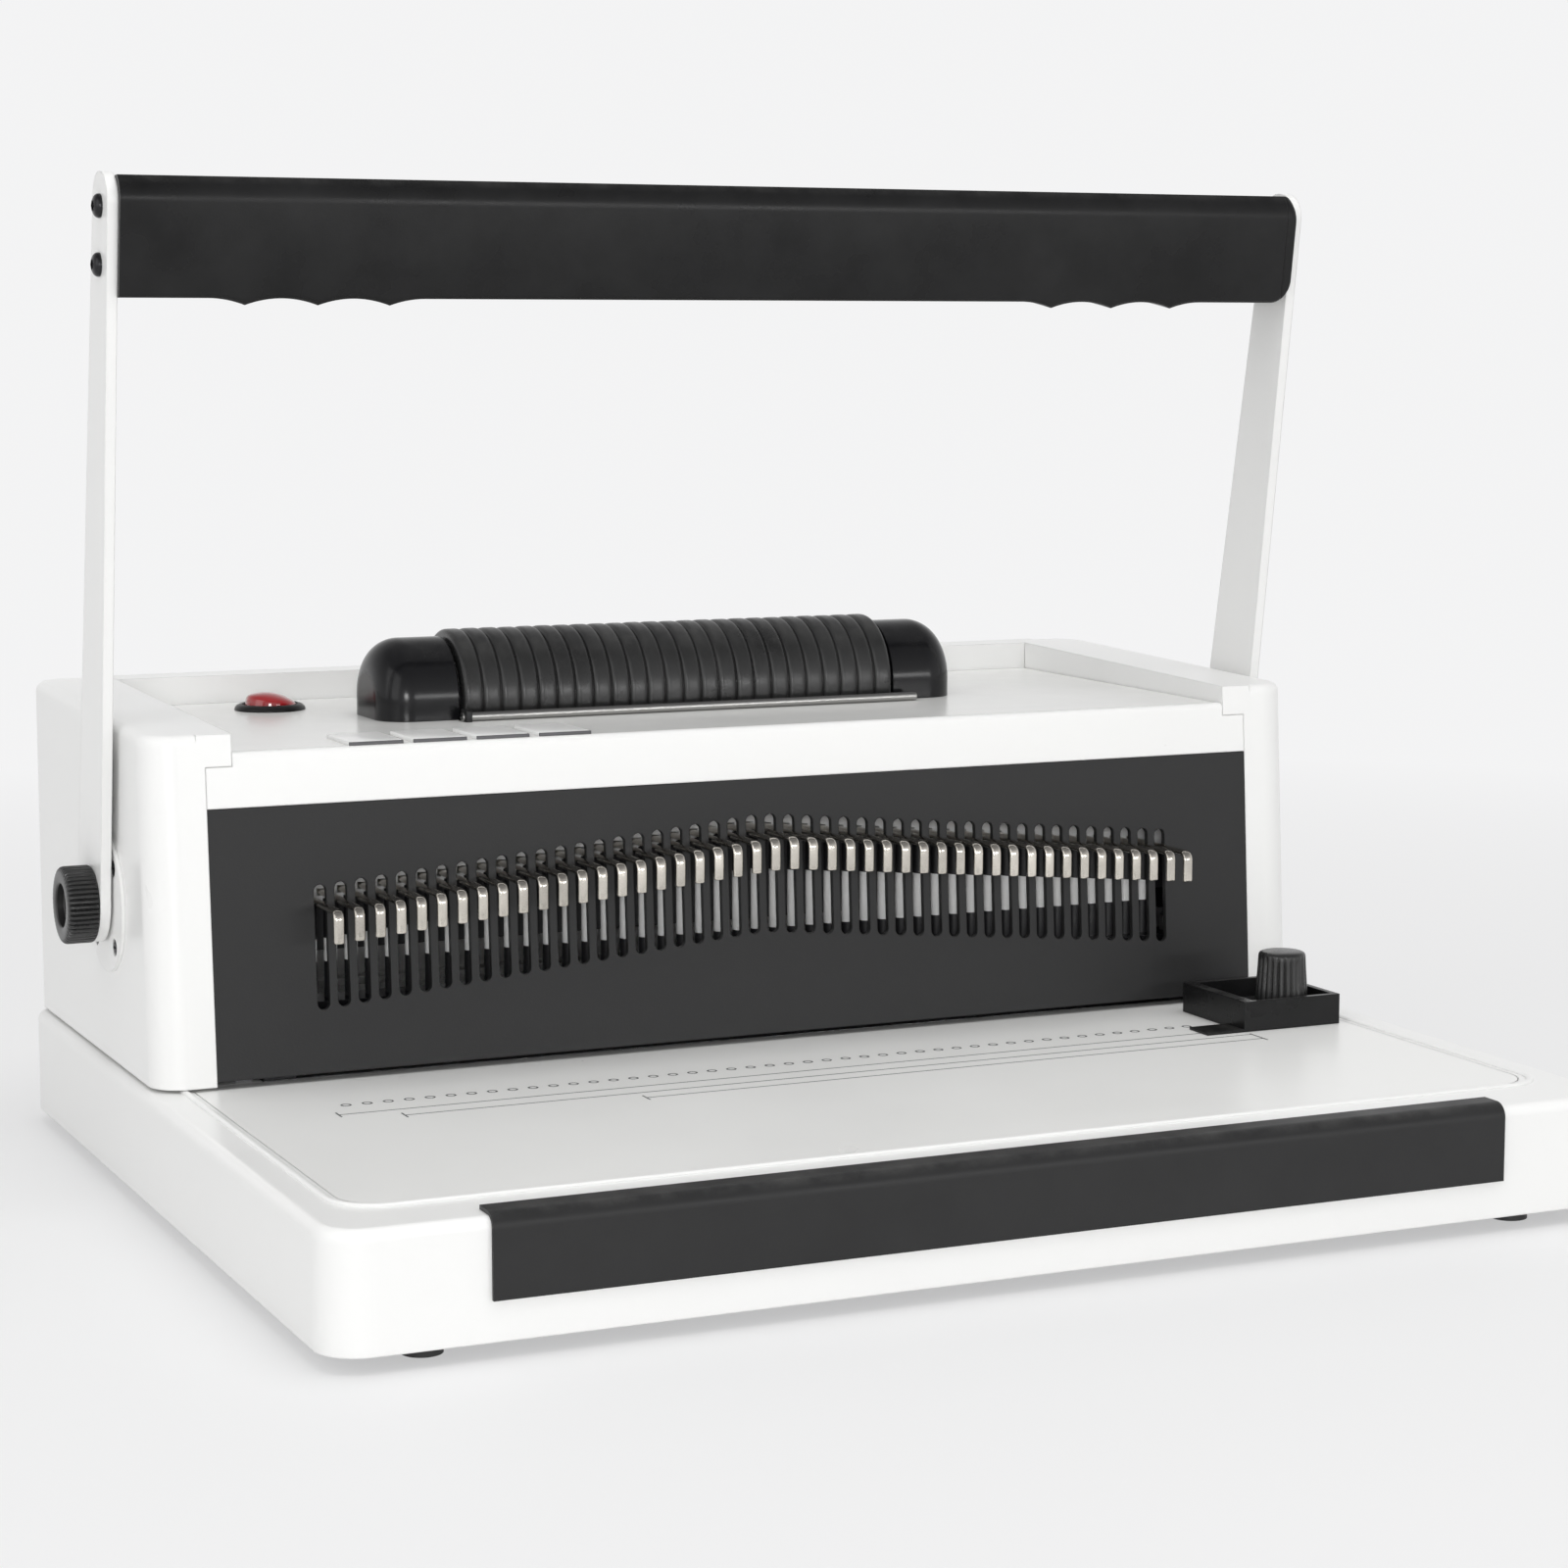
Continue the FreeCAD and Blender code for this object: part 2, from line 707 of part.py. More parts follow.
def make_base():
    """The base: a tray turned upside down, with the table let into its deck."""
    shell = rounded_slab("shell_outside", "base_half", "depth_half", ("foot_height", "base_top"),
                         "base_corner")
    round_edges(shell, "base_edge", lambda edge: lies_at(edge, "z", "base_top"))
    hollow = rounded_slab("shell_inside", "base_half - base_wall", "depth_half - base_wall",
                          ("foot_height - cut_over", "deck_low"), "base_corner - base_wall")
    tray = cut("shell_tray", shell, [hollow])
    boss_z = ("plate_top", "base_top - table_thick - seam_gap")
    bosses = [cylinder(f"foot_boss_{k}", "z", "boss_diameter", boss_z, place)
              for k, place in enumerate(corners(FOOT_X, FOOT_Y))]
    recess = prism("table_recess", "z", rectangle(both_ways("table_half + fit_gap"),
                                                  ("table_front - fit_gap", "die_front - fit_gap")),
                   ("base_top - table_thick", "base_top + cut_over"))
    round_edges(recess, "table_corner + fit_gap", lambda edge: runs_along(edge, "z")
                and lies_at(edge, "y", "table_front - fit_gap"))
    tools = [
        recess,
        box("die_window", both_ways("die_half + fit_gap"),
            ("die_front - fit_gap", "die_rear + fit_gap"), past("deck_low", "base_top")),
        guide_slot("deck_guide_slot"),
        box("drawer_mouth", past("base_half - base_wall", "base_half"),
            ("drawer_front - fit_gap", "drawer_rear + fit_gap"),
            ("drawer_low - fit_gap", "drawer_high + fit_gap")),
    ]
    for k, place in enumerate(corners(FOOT_X, FOOT_Y)):
        tools.append(clear_hole(f"boss_bore_{k}", "z", "small_screw",
                                ("plate_top - cut_over", "plate_top + screw_grip"), place))
    for k, place in enumerate(frame_screw_places()):
        tools.append(clear_hole(f"deck_bore_{k}", "z", "small_screw", past("deck_low", "base_top"), place))
    node(cut("base_shell", fuse("shell_with_bosses", [tray] + bosses), tools), "base_shell")

    plate = prism("table_slab", "z", rectangle(both_ways("table_half"),
                                               ("table_front", "die_front - 2 * fit_gap")),
                  ("base_top - table_thick", "base_top"))
    round_edges(plate, "table_corner",
                lambda edge: runs_along(edge, "z") and lies_at(edge, "y", "table_front"))
    node(cut("table_plate", plate, [guide_slot("table_guide_slot")]), "table_plate")

    front = "-depth_half"
    trim = prism("front_trim", "x", [
        (f"{front} - trim_thick", "base_top - trim_drop"),
        (f"{front} - trim_thick", "base_top + trim_thick"),
        (f"{front} + trim_lap", "base_top + trim_thick"),
        (f"{front} + trim_lap", "base_top"),
        (front, "base_top"),
        (front, "base_top - trim_drop"),
    ], both_ways("trim_length / 2"))
    round_edges(trim, "base_edge + trim_thick", lambda edge: runs_along(edge, "x")
                and lies_at(edge, "y", f"{front} - trim_thick")
                and lies_at(edge, "z", "base_top + trim_thick"))
    round_edges(trim, "base_edge - fit_gap", lambda edge: runs_along(edge, "x")
                and lies_at(edge, "y", front) and lies_at(edge, "z", "base_top"))
    node(trim, "front_trim")


def make_underside():
    """Bottom plate, rubber feet and the screws that hold both."""
    plate = rounded_slab("bottom_slab", "base_half - base_wall - fit_gap", "depth_half - base_wall - fit_gap",
                         ("foot_height", "plate_top"), "base_corner - base_wall - fit_gap")
    bores = []
    feet = []
    screws = []
    seat = "foot_height / 2"
    for k, place in enumerate(corners(FOOT_X, FOOT_Y)):
        bores.append(clear_hole(f"plate_bore_{k}", "z", "small_screw", past("foot_height", "plate_top"),
                                place))
        block = cylinder(f"foot_block_{k}", "z", "foot_diameter", ("0", "foot_height"), place)
        feet.append(cut(f"foot_{k}", block, [
            clear_hole(f"foot_well_{k}", "z", "small_head", ("-cut_over", seat), place),
            clear_hole(f"foot_bore_{k}", "z", "small_screw", ("-cut_over", "foot_height + cut_over"), place),
        ]))
        screws.append(screw(f"foot_screw_{k}", "z", "small_screw", (seat, "plate_top + screw_grip / 2"),
                            "small_head", (f"{seat} - small_head_thick / 2", seat), place))
    node(cut("bottom_plate", plate, bores), "bottom_plate")
    node(group("feet", feet), "feet")
    node(group("foot_screws", screws), "foot_screws")


def make_drawer():
    """The chip drawer under the die, and the two rails it runs between."""
    y = ("drawer_front", "drawer_rear")
    block = box("drawer_block", ("drawer_end", "base_half"), y, ("drawer_low", "drawer_high"))
    inside = box("drawer_inside", ("drawer_end + drawer_wall", "base_half - 2 * drawer_wall"),
                 ("drawer_front + drawer_wall", "drawer_rear - drawer_wall"),
                 ("drawer_low + drawer_wall", "drawer_high + cut_over"))
    pull = box("drawer_lip", ("base_half - drawer_wall", "base_half + drawer_pull"),
               ("drawer_front + drawer_width / 4", "drawer_rear - drawer_width / 4"),
               ("drawer_high - 2 * drawer_wall", "drawer_high - drawer_wall"))
    node(fuse("chip_drawer", [cut("drawer_tray", block, [inside]), pull]), "chip_drawer")

    x = ("drawer_end", "base_half - base_wall - fit_gap")
    z = ("plate_top", "plate_top + rail_height")
    node(group("drawer_rails", [
        box("front_rail", x, ("drawer_front - slide_gap - rail_thick", "drawer_front - slide_gap"), z),
        box("rear_rail", x, ("drawer_rear + slide_gap", "drawer_rear + slide_gap + rail_thick"), z),
    ]), "drawer_rails")


def boss_places():
    """Where the cheeks are screwed to the side frames, as y and z."""
    front = "panel_y + boss_setback"
    rear = "frame_rear - boss_inset"
    high = "frame_top - boss_inset"
    return [(front, high), (rear, high), (rear, "base_top + boss_inset")]


def make_frames():
    """Two upright side frames, the bars between them and the shaft's bushes."""
    foot_y = ("frame_front + frame_foot_inset", "frame_rear - frame_foot_inset")
    foot_z = ("base_top", "base_top + frame_foot_thick")
    bushes = []
    for side in SIDES:
        plate = box(f"{side}_frame_plate", mirrored(side, "frame_in", "frame_out"),
                    ("frame_front", "frame_rear"), ("base_top", "frame_top"))
        foot = box(f"{side}_frame_foot", mirrored(side, "frame_in + cut_over", "frame_out + frame_foot"),
                   foot_y, foot_z)
        through = mirrored(side, *past("frame_in", "frame_out"))
        tools = [cylinder(f"{side}_bush_seat", "x", "bush_diameter + 2 * running_gap", through,
                          ("pivot_y", "pivot_z"))]
        for k, place in enumerate(boss_places()):
            tools.append(clear_hole(f"{side}_frame_bore_{k}", "x", "small_screw", through, place))
        for k, place in enumerate(frame_screw_places()):
            tools.append(clear_hole(f"{side}_foot_hole_{k}", "z", "small_screw", past(*foot_z), place))
        whole = fuse(f"{side}_frame_whole", [plate, foot])
        node(cut(f"{side}_side_frame", whole, tools), f"{side}_side_frame")

        flange = "frame_in - bush_flange_thick"
        centre = ("pivot_y", "pivot_z")
        outside = fuse(f"{side}_bush_outside", [
            cylinder(f"{side}_bush_tube", "x", "bush_diameter", mirrored(side, flange, "frame_out"), centre),
            cylinder(f"{side}_bush_collar", "x", "bush_flange", mirrored(side, flange, "frame_in"), centre),
        ])
        bore = cylinder(f"{side}_bush_bore", "x", "shaft_diameter + 2 * running_gap",
                        mirrored(side, *past(flange, "frame_out")), centre)
        bushes.append(cut(f"{side}_bush", outside, [bore]))
    node(group("shaft_bushes", bushes), "shaft_bushes")

    head = "base_top + frame_foot_thick"
    node(group("frame_screws", [
        screw(f"frame_screw_{k}", "z", "small_screw", ("deck_low - frame_foot_thick", head), "small_head",
              (head, f"{head} + small_head_thick"), place)
        for k, place in enumerate(frame_screw_places())
    ]), "frame_screws")

    node(group("tie_bars", [
        box("upper_tie", both_ways("frame_in"), ("tie_y", "tie_y + tie_depth"),
            ("tie_low", "tie_low + tie_height")),
        box("rear_tie", both_ways("frame_in"), ("rear_tie_y - rear_tie_depth", "rear_tie_y"),
            ("rear_tie_z", "rear_tie_z + rear_tie_depth")),
    ]), "tie_bars")


def make_die_set():
    """Die, paper stop and pin guide: the throat is the gap that the stop leaves."""
    die = prism("die_block", "z", rectangle(both_ways("die_half"), ("die_front", "die_rear")),
                ("base_top - die_thick", "base_top"))
    row_of_holes(die, "die_holes", "pin_hole", "base_top")
    guide_y = ("pin_y - guide_front_land", "pin_y + guide_rear_land")
    guide = prism("guide_block", "z", rectangle(both_ways("frame_in"), guide_y), ("throat_top", "guide_top"))
    row_of_holes(guide, "guide_holes", "pin_hole", "guide_top")
    inner = "throat_width / 2"
    stop_front = "pin_y + stop_distance"
    stop = prism("stop_strip", "z", [
        ("-die_half", "die_front"),
        (f"-{inner}", "die_front"),
        (f"-{inner}", stop_front),
        (inner, stop_front),
        (inner, "die_front"),
        ("die_half", "die_front"),
        ("die_half", "die_rear"),
        ("-die_half", "die_rear"),
    ], ("base_top", "throat_top"))
    screws = []
    for piece, label in ((die, "die_plate"), (stop, "paper_stop"), (guide, "pin_guide_block")):
        tools = [clear_hole(f"{label}_{side}_bore", "z", "die_screw",
                            past("base_top - die_thick", "guide_top"),
                            (handed(side, "die_screw_x"), "pin_y")) for side in SIDES]
        node(cut(label, piece, tools), label)
    for side in SIDES:
        screws.append(screw(f"{side}_die_screw", "z", "die_screw", ("base_top - die_thick", "guide_top"),
                            "die_screw_head", ("guide_top", "guide_top + die_screw_head_thick"),
                            (handed(side, "die_screw_x"), "pin_y")))
    node(group("die_screws", screws), "die_screws")

    guides = []
    low = "guide_top + die_screw_head_thick + slide_gap"
    for side in SIDES:
        block = box(f"{side}_bar_guide_block", mirrored(side, "frame_in - bar_guide_grip", "frame_in"),
                    ("press_front - slide_gap - bar_guide_wall", "tie_y"), (low, "bar_guide_high"))
        channel = box(f"{side}_bar_channel",
                      mirrored(side, "frame_in - bar_guide_grip - cut_over", "press_half + slide_gap"),
                      ("press_front - slide_gap", "press_rear + slide_gap"),
                      past(low, "bar_guide_high"))
        guides.append(cut(f"{side}_bar_guide", block, [channel]))
    node(group("bar_guides", guides), "bar_guides")


def row_of_solids(name, make):
    """One solid for each punch hole; each is made from its x and its pull's height."""
    count = int(value("hole_count"))
    step = value("chevron_step * cos(panel_lean)")
    solids = []
    for index in range(count):
        offset = index - (count - 1) / 2
        solids.append(make(offset * value("hole_pitch"), value("pull_high_z") - abs(offset) * step))
    row = doc.addObject("Part::Feature", name)
    row.Shape = Part.makeCompound(solids)
    row.Placement = Placement()
    return row


def punch_pin(x, height):
    """A round pin that hangs under its pull, its end just inside the pin guide."""
    top = height - value("pull_thick / 2")
    bottom = value("throat_top + pin_rest - pull_low_z") + height
    return Part.makeCylinder(value("pin_diameter / 2"), top - bottom, Vector(x, value("pin_y"), bottom))


def pin_pull(x, height):
    """A flat strip from the press bar out through its slot, bent down at the front."""
    thick = value("pull_thick")
    bend = value("pull_bend")
    inner = bend - thick
    slant = math.sqrt(0.5)
    left = x - value("pull_width / 2")
    top = height + thick / 2
    low = top - value("pull_drop")
    tail = value("press_rear")
    front = value(f"panel_y - pull_reach + ({height} - head_low) * tan(panel_lean)")
    centre = Vector(left, front + bend, top - bend)
    edges = [
        Part.LineSegment(Vector(left, tail, top), Vector(left, front + bend, top)),
        Part.Arc(Vector(left, front + bend, top), centre + Vector(0, -slant, slant) * bend,
                 Vector(left, front, top - bend)),
        Part.LineSegment(Vector(left, front, top - bend), Vector(left, front, low)),
        Part.LineSegment(Vector(left, front, low), Vector(left, front + thick, low)),
        Part.LineSegment(Vector(left, front + thick, low), Vector(left, front + thick, top - bend)),
        Part.Arc(Vector(left, front + thick, top - bend), centre + Vector(0, -slant, slant) * inner,
                 Vector(left, front + bend, top - thick)),
        Part.LineSegment(Vector(left, front + bend, top - thick), Vector(left, tail, top - thick)),
        Part.LineSegment(Vector(left, tail, top - thick), Vector(left, tail, top)),
    ]
    outline = Part.Face(Part.Wire([edge.toShape() for edge in edges]))
    return outline.extrude(Vector(value("pull_width"), 0, 0))


def make_press():
    """The press bar with its spring pegs and drive yokes, the pins and their pulls."""
    bar = prism("press_slab", "y", rectangle(both_ways("press_half"), ("press_low", "press_high")),
                ("press_front", "press_rear"))
    step = "chevron_step * cos(panel_lean)"
    level = f"pull_high_z - {step} / 2"
    half_high = "pull_thick / 2 + slide_gap"
    half_wide = "pull_width / 2 + slide_gap"
    slots = new_sketch(bar, "tail_slot", "y", "-press_rear")
    draw_outline(slots, rectangle((f"hole_pitch / 2 - ({half_wide})", f"hole_pitch / 2 + {half_wide}"),
                                  (f"{level} - ({half_high})", f"{level} + {half_high}")))
    chevron_of_slots(bar, slots, step)
    peg_y = ("press_rear - cut_over", "spring_y + spring_diameter / 2")
    pegs = [cylinder(f"{side}_spring_peg", "y", "peg_diameter", peg_y,
                     (handed(side, "spring_offset"), "peg_z")) for side in SIDES]
    node(fuse("press_bar", [bar] + pegs), "press_bar")

    low = "crank_z - yoke_slot_half"
    high = "crank_z + yoke_slot_half"
    inner = "pivot_y - crank_reach - yoke_slot_half"
    fork = [
        ("press_rear", f"{low} - yoke_prong"), ("yoke_rear", f"{low} - yoke_prong"), ("yoke_rear", low),
        (inner, low), (inner, high), ("yoke_rear", high), ("yoke_rear", f"{high} + yoke_prong"),
        ("press_rear", f"{high} + yoke_prong"),
    ]
    node(group("drive_yokes", [prism(f"{side}_yoke", "x", fork, mirrored(side, "yoke_in", "yoke_out"))
                               for side in SIDES]), "drive_yokes")

    node(row_of_solids("punch_pins", punch_pin), "punch_pins")
    node(row_of_solids("pin_pulls", pin_pull), "pin_pulls")

    springs = []
    coil_z = ("peg_z + peg_diameter / 2", "tie_low")
    for side in SIDES:
        place = (handed(side, "spring_offset"), "spring_y")
        coil = cylinder(f"{side}_spring_outside", "z", "spring_diameter", coil_z, place)
        core = cylinder(f"{side}_spring_inside", "z", "spring_bore", past(*coil_z), place)
        springs.append(cut(f"{side}_spring", coil, [core]))
    node(group("return_springs", springs), "return_springs")


def front_plane(height):
    """The y of the head's leaning front at a height."""
    return f"panel_y + ({height} - head_low) * tan(panel_lean)"


def rim_height(y):
    """The height of the head's rising rim at a depth."""
    return f"rim_front_z + (rim_rear_z - rim_front_z) * ({y} - rim_front_y) / (head_rear - rim_front_y)"


def cheek_block(name, side, inset, radius):
    """A cheek's outline drawn in by an inset, its outer upright edges rounded."""
    low = f"head_low + {inset}"
    rear = f"head_rear - {inset}"
    front_top = f"rim_front_z - {inset}"
    rear_top = f"rim_rear_z - {inset}"
    outer = handed(side, f"head_half - {inset}")
    block = prism(name, "x", [
        (f"{front_plane(low)} + {inset}", low),
        (f"{front_plane(front_top)} + {inset}", front_top),
        (rear, rear_top),
        (rear, low),
    ], mirrored(side, "cheek_in" if inset == "0" else "cheek_in - cut_over", f"head_half - {inset}"))
    round_edges(block, radius, lambda edge: lies_at(edge, "x", outer) and runs_along(edge, "z"))
    return block


def make_cheeks():
    """Hollow side covers with a rim beside the top, bosses inside and the shaft's flange outside."""
    screws = []
    flanges = []
    flange_screws = []
    for side in SIDES:
        inner = handed(side, "cheek_in")
        shell = cheek_block(f"{side}_cheek_outside", side, "0", "head_corner")
        top = value("rim_front_z") - 1e-3
        round_edges(shell, "head_edge",
                    lambda edge: edge.BoundBox.ZMin > top and not lies_at(edge, "x", inner))
        hollow = cheek_block(f"{side}_cheek_inside", side, "cover_wall", "head_corner - cover_wall")
        rim = prism(f"{side}_rim", "x", [
            (front_plane("deck_under"), "deck_under"),
            ("upstand_rear", "deck_under"),
            ("upstand_rear", rim_height("upstand_rear")),
            ("rim_front_y", "rim_front_z"),
        ], mirrored(side, "rim_in", "cheek_in + cover_wall"))
        bosses = [cylinder(f"{side}_boss_{k}", "x", "boss_diameter",
                           mirrored(side, "frame_out", "head_half - cover_wall / 2"), place)
                  for k, place in enumerate(boss_places())]
        pilot = mirrored(side, "frame_out - cut_over", "frame_out + screw_grip")
        tools = [clear_hole(f"{side}_boss_bore_{k}", "x", "small_screw", pilot, place)
                 for k, place in enumerate(boss_places())]
        tools.append(cylinder(f"{side}_shaft_window", "x", "bush_diameter",
                              mirrored(side, "frame_out + cut_over", "head_half + cut_over"),
                              ("pivot_y", "pivot_z")))
        flange_x = mirrored(side, "head_half", "head_half + flange_thick")
        flange_holes = [cylinder(f"{side}_flange_bore", "x", "shaft_diameter + 2 * fit_gap",
                                 mirrored(side, "head_half - cut_over", "arm_in"), ("pivot_y", "pivot_z"))]
        for k, (dy, dz) in enumerate(corners("flange_screw_side", "flange_screw_rise")):
            place = (f"pivot_y + {dy}", f"pivot_z + {dz}")
            tools.append(clear_hole(f"{side}_flange_pilot_{k}", "x", "small_screw",
                                    mirrored(side, "head_half - 2 * cover_wall", "head_half + cut_over"),
                                    place))
            flange_holes.append(clear_hole(f"{side}_flange_hole_{k}", "x", "flange_screw_head",
                                           mirrored(side, "head_half - cut_over", "arm_in"), place))
            flange_screws.append(screw(f"{side}_flange_screw_{k}", "x", "small_screw",
                                       mirrored(side, "head_half - 1.5 * cover_wall", "head_half"),
                                       "flange_screw_head", flange_x, place))
        disc = cylinder(f"{side}_flange_disc", "x", "flange_diameter", flange_x, ("pivot_y", "pivot_z"))
        flanges.append(cut(f"{side}_flange", disc, flange_holes))
        whole = fuse(f"{side}_cheek_whole", [cut(f"{side}_cheek_shell", shell, [hollow]), rim] + bosses)
        node(cut(f"{side}_cheek", whole, tools), f"{side}_cheek")
        for k, place in enumerate(boss_places()):
            screws.append(screw(f"{side}_cheek_screw_{k}", "x", "small_screw",
                                mirrored(side, "frame_in", "frame_out + screw_grip - cut_over"), "small_head",
                                mirrored(side, "frame_in - small_head_thick", "frame_in"), place))
    node(group("cheek_screws", screws), "cheek_screws")
    node(group("bearing_flanges", flanges), "bearing_flanges")
    node(group("flange_screws", flange_screws), "flange_screws")


def make_front_panel():
    """The leaning black panel with a slot for each pin pull, drawn in its own upright frame."""
    face = rectangle(both_ways("cheek_in - seam_gap"), ("throat_gap - head_gap", "panel_height"))
    panel = prism("front_panel", "y", face, ("0", "panel_thick"))
    slot = new_sketch(panel, "pull_slot", "y", "0")
    low = "slot_low + chevron_rise - chevron_step / 2"
    draw_slot(slot, "slot_width", "hole_pitch / 2", f"{low} + slot_width / 2",
              f"{low} + slot_length - slot_width / 2")
    chevron_of_slots(panel, slot, "chevron_step")
    panel.Placement = Placement(Vector(), Rotation(Vector(1, 0, 0), -1))
    bind(panel, "Placement.Rotation.Angle", "-panel_lean")
    bind(panel, "Placement.Base.y", "panel_y")
    bind(panel, "Placement.Base.z", "head_low")
    node(panel, "front_panel")


def top_openings(name, low, high):
    """The openings that the top cover's deck and the top plate share."""
    depth = (low, high)
    half = "roller_diameter / 2 + 3 * fit_gap"
    strand = "roller_pulley / 2 + pulley_flange + fit_gap"
    belt = "belt_width / 2 + pulley_flange_thick + 2 * fit_gap"
    return [
        box(f"{name}_roller_opening", on_roller(both_ways("roller_half + 1.5 * roller_gap")),
            around("roller_y", half), depth),
        box(f"{name}_belt_opening", around("belt_x", belt),
            (f"roller_y - ({strand})", f"roller_y + {strand} + belt_thick"), depth),
        clear_hole(f"{name}_switch_hole", "z", "barrel_diameter", depth, ("switch_x", "switch_y")),
    ]


def make_covers():
    """Top cover with its leaning apron and rear upstand, the grey top plate and the rear cover."""
    foot = "head_low + (panel_height + seam_gap) * cos(panel_lean)"
    wide = "cheek_in - seam_gap"
    narrow = "rim_in - seam_gap"

    def leaning(low, high):
        return [(front_plane(low), low), (front_plane(high), high),
                (f"{front_plane(high)} + cover_wall", high), (f"{front_plane(low)} + cover_wall", low)]

    lower = prism("apron_lower", "x", leaning(foot, "deck_under - seam_gap"), both_ways(wide))
    upper = prism("apron_upper", "x", leaning("deck_under - cut_over", "top_face"), both_ways(narrow))
    round_edges(upper, "top_plate_thick", lambda edge: runs_along(edge, "x")
                and lies_at(edge, "z", "top_face") and lies_at(edge, "y", "apron_y"))
    deck = box("cover_deck", both_ways(narrow), ("apron_y + cut_over", "upstand_rear"),
               ("deck_under", "deck_face"))
    upstand = prism("upstand", "x", [
        ("upstand_front", "deck_under"), ("upstand_rear", "deck_under"),
        ("upstand_rear", rim_height("upstand_rear")), ("upstand_front", rim_height("upstand_front")),
    ], both_ways(narrow))
    tools = top_openings("cover", *past("deck_under", "deck_face"))
    screw_z = "rim_rear_z - small_head"
    screw_x = ("rim_in - boss_diameter", "rim_in / 3")
    places = [(handed(side, x), screw_z) for side in SIDES for x in screw_x]
    seat = "head_rear - cover_wall / 2"
    for k, place in enumerate(places):
        tools.append(clear_hole(f"upstand_bore_{k}", "y", "small_screw",
                                ("upstand_front + cut_over", "head_rear"), place))
    node(cut("top_cover", fuse("cover_whole", [lower, upper, deck, upstand]), tools), "top_cover")

    plate = box("top_slab", both_ways("rim_in - fit_gap"),
                ("apron_y + cover_wall + fit_gap", "upstand_front - fit_gap"), ("deck_face", "top_face"))
    node(cut("top_plate", plate, top_openings("plate", *past("deck_face", "top_face"))), "top_plate")

    rear = prism("rear_slab", "x", [
        ("upstand_rear - rear_foot", "base_top"), ("upstand_rear", "base_top"),
        ("upstand_rear", "head_low"), ("head_rear", "head_low"),
        ("head_rear", rim_height("head_rear")), ("upstand_rear", rim_height("upstand_rear")),
        ("upstand_rear", "base_top + cover_wall"), ("upstand_rear - rear_foot", "base_top + cover_wall"),
    ], both_ways(wide))
    depth = past("upstand_rear", "head_rear")
    tools = [box("inlet_hole", around("inlet_x", "inlet_width / 2 + seam_gap"), depth,
                 around("inlet_z", "inlet_height / 2 + seam_gap"))]
    for index in range(int(value("vent_count"))):
        x = f"{index} * vent_pitch - inlet_x"
        tools.append(box(f"vent_{index}", (x, f"{x} + vent_width"), depth,
                         around("inlet_z", "vent_height / 2")))
    for k, place in enumerate(places):
        tools.append(clear_hole(f"rear_bore_{k}", "y", "small_screw", depth, place))
        tools.append(clear_hole(f"rear_well_{k}", "y", "small_head", (seat, "head_rear + cut_over"), place))
    node(cut("rear_cover", rear, tools), "rear_cover")
    node(group("rear_cover_screws", [
        screw(f"rear_screw_{k}", "y", "small_screw", ("upstand_front + 2 * cut_over", seat), "small_head",
              (seat, f"{seat} + small_head_thick"), place) for k, place in enumerate(places)
    ]), "rear_cover_screws")


def make_power_inlet():
    """The mains inlet in the rear cover: a flanged cup with three blades."""
    half_x = "inlet_width / 2"
    half_z = "inlet_height / 2"
    front = "head_rear - inlet_depth"

    def ring(name, grow, y):
        return box(name, around("inlet_x", f"{half_x} + {grow}"), y, around("inlet_z", f"{half_z} + {grow}"))

    cup = fuse("inlet_cup", [ring("inlet_body", "0", (front, "head_rear")),
                             ring("inlet_flange", "inlet_lip", ("head_rear", "head_rear + flange_thick"))])
    socket = ring("inlet_socket", "(-inlet_lip)", (f"{front} + inlet_lip", "head_rear + 2 * flange_thick"))
    blade_places = (
        ("inlet_x - inlet_width / 4", "inlet_z - blade_drop"),
        ("inlet_x", "inlet_z + inlet_height / 8"),
        ("inlet_x + inlet_width / 4", "inlet_z - blade_drop"),
    )
    blade_y = (f"{front} + cut_over", "head_rear - blade_setback")
    blades = [box(f"inlet_blade_{k}", around(x, "blade_width / 2"), blade_y, around(z, "blade_height / 2"))
              for k, (x, z) in enumerate(blade_places)]
    node(fuse("power_inlet", [cut("inlet_shell", cup, [socket])] + blades), "power_inlet")


def leaned(across, along):
    """A place on the handle, across and along its arms, as y and z."""
    return (f"pivot_y + ({across}) * cos(arm_lean) - ({along}) * sin(arm_lean)",
            f"pivot_z + ({across}) * sin(arm_lean) + ({along}) * cos(arm_lean)")


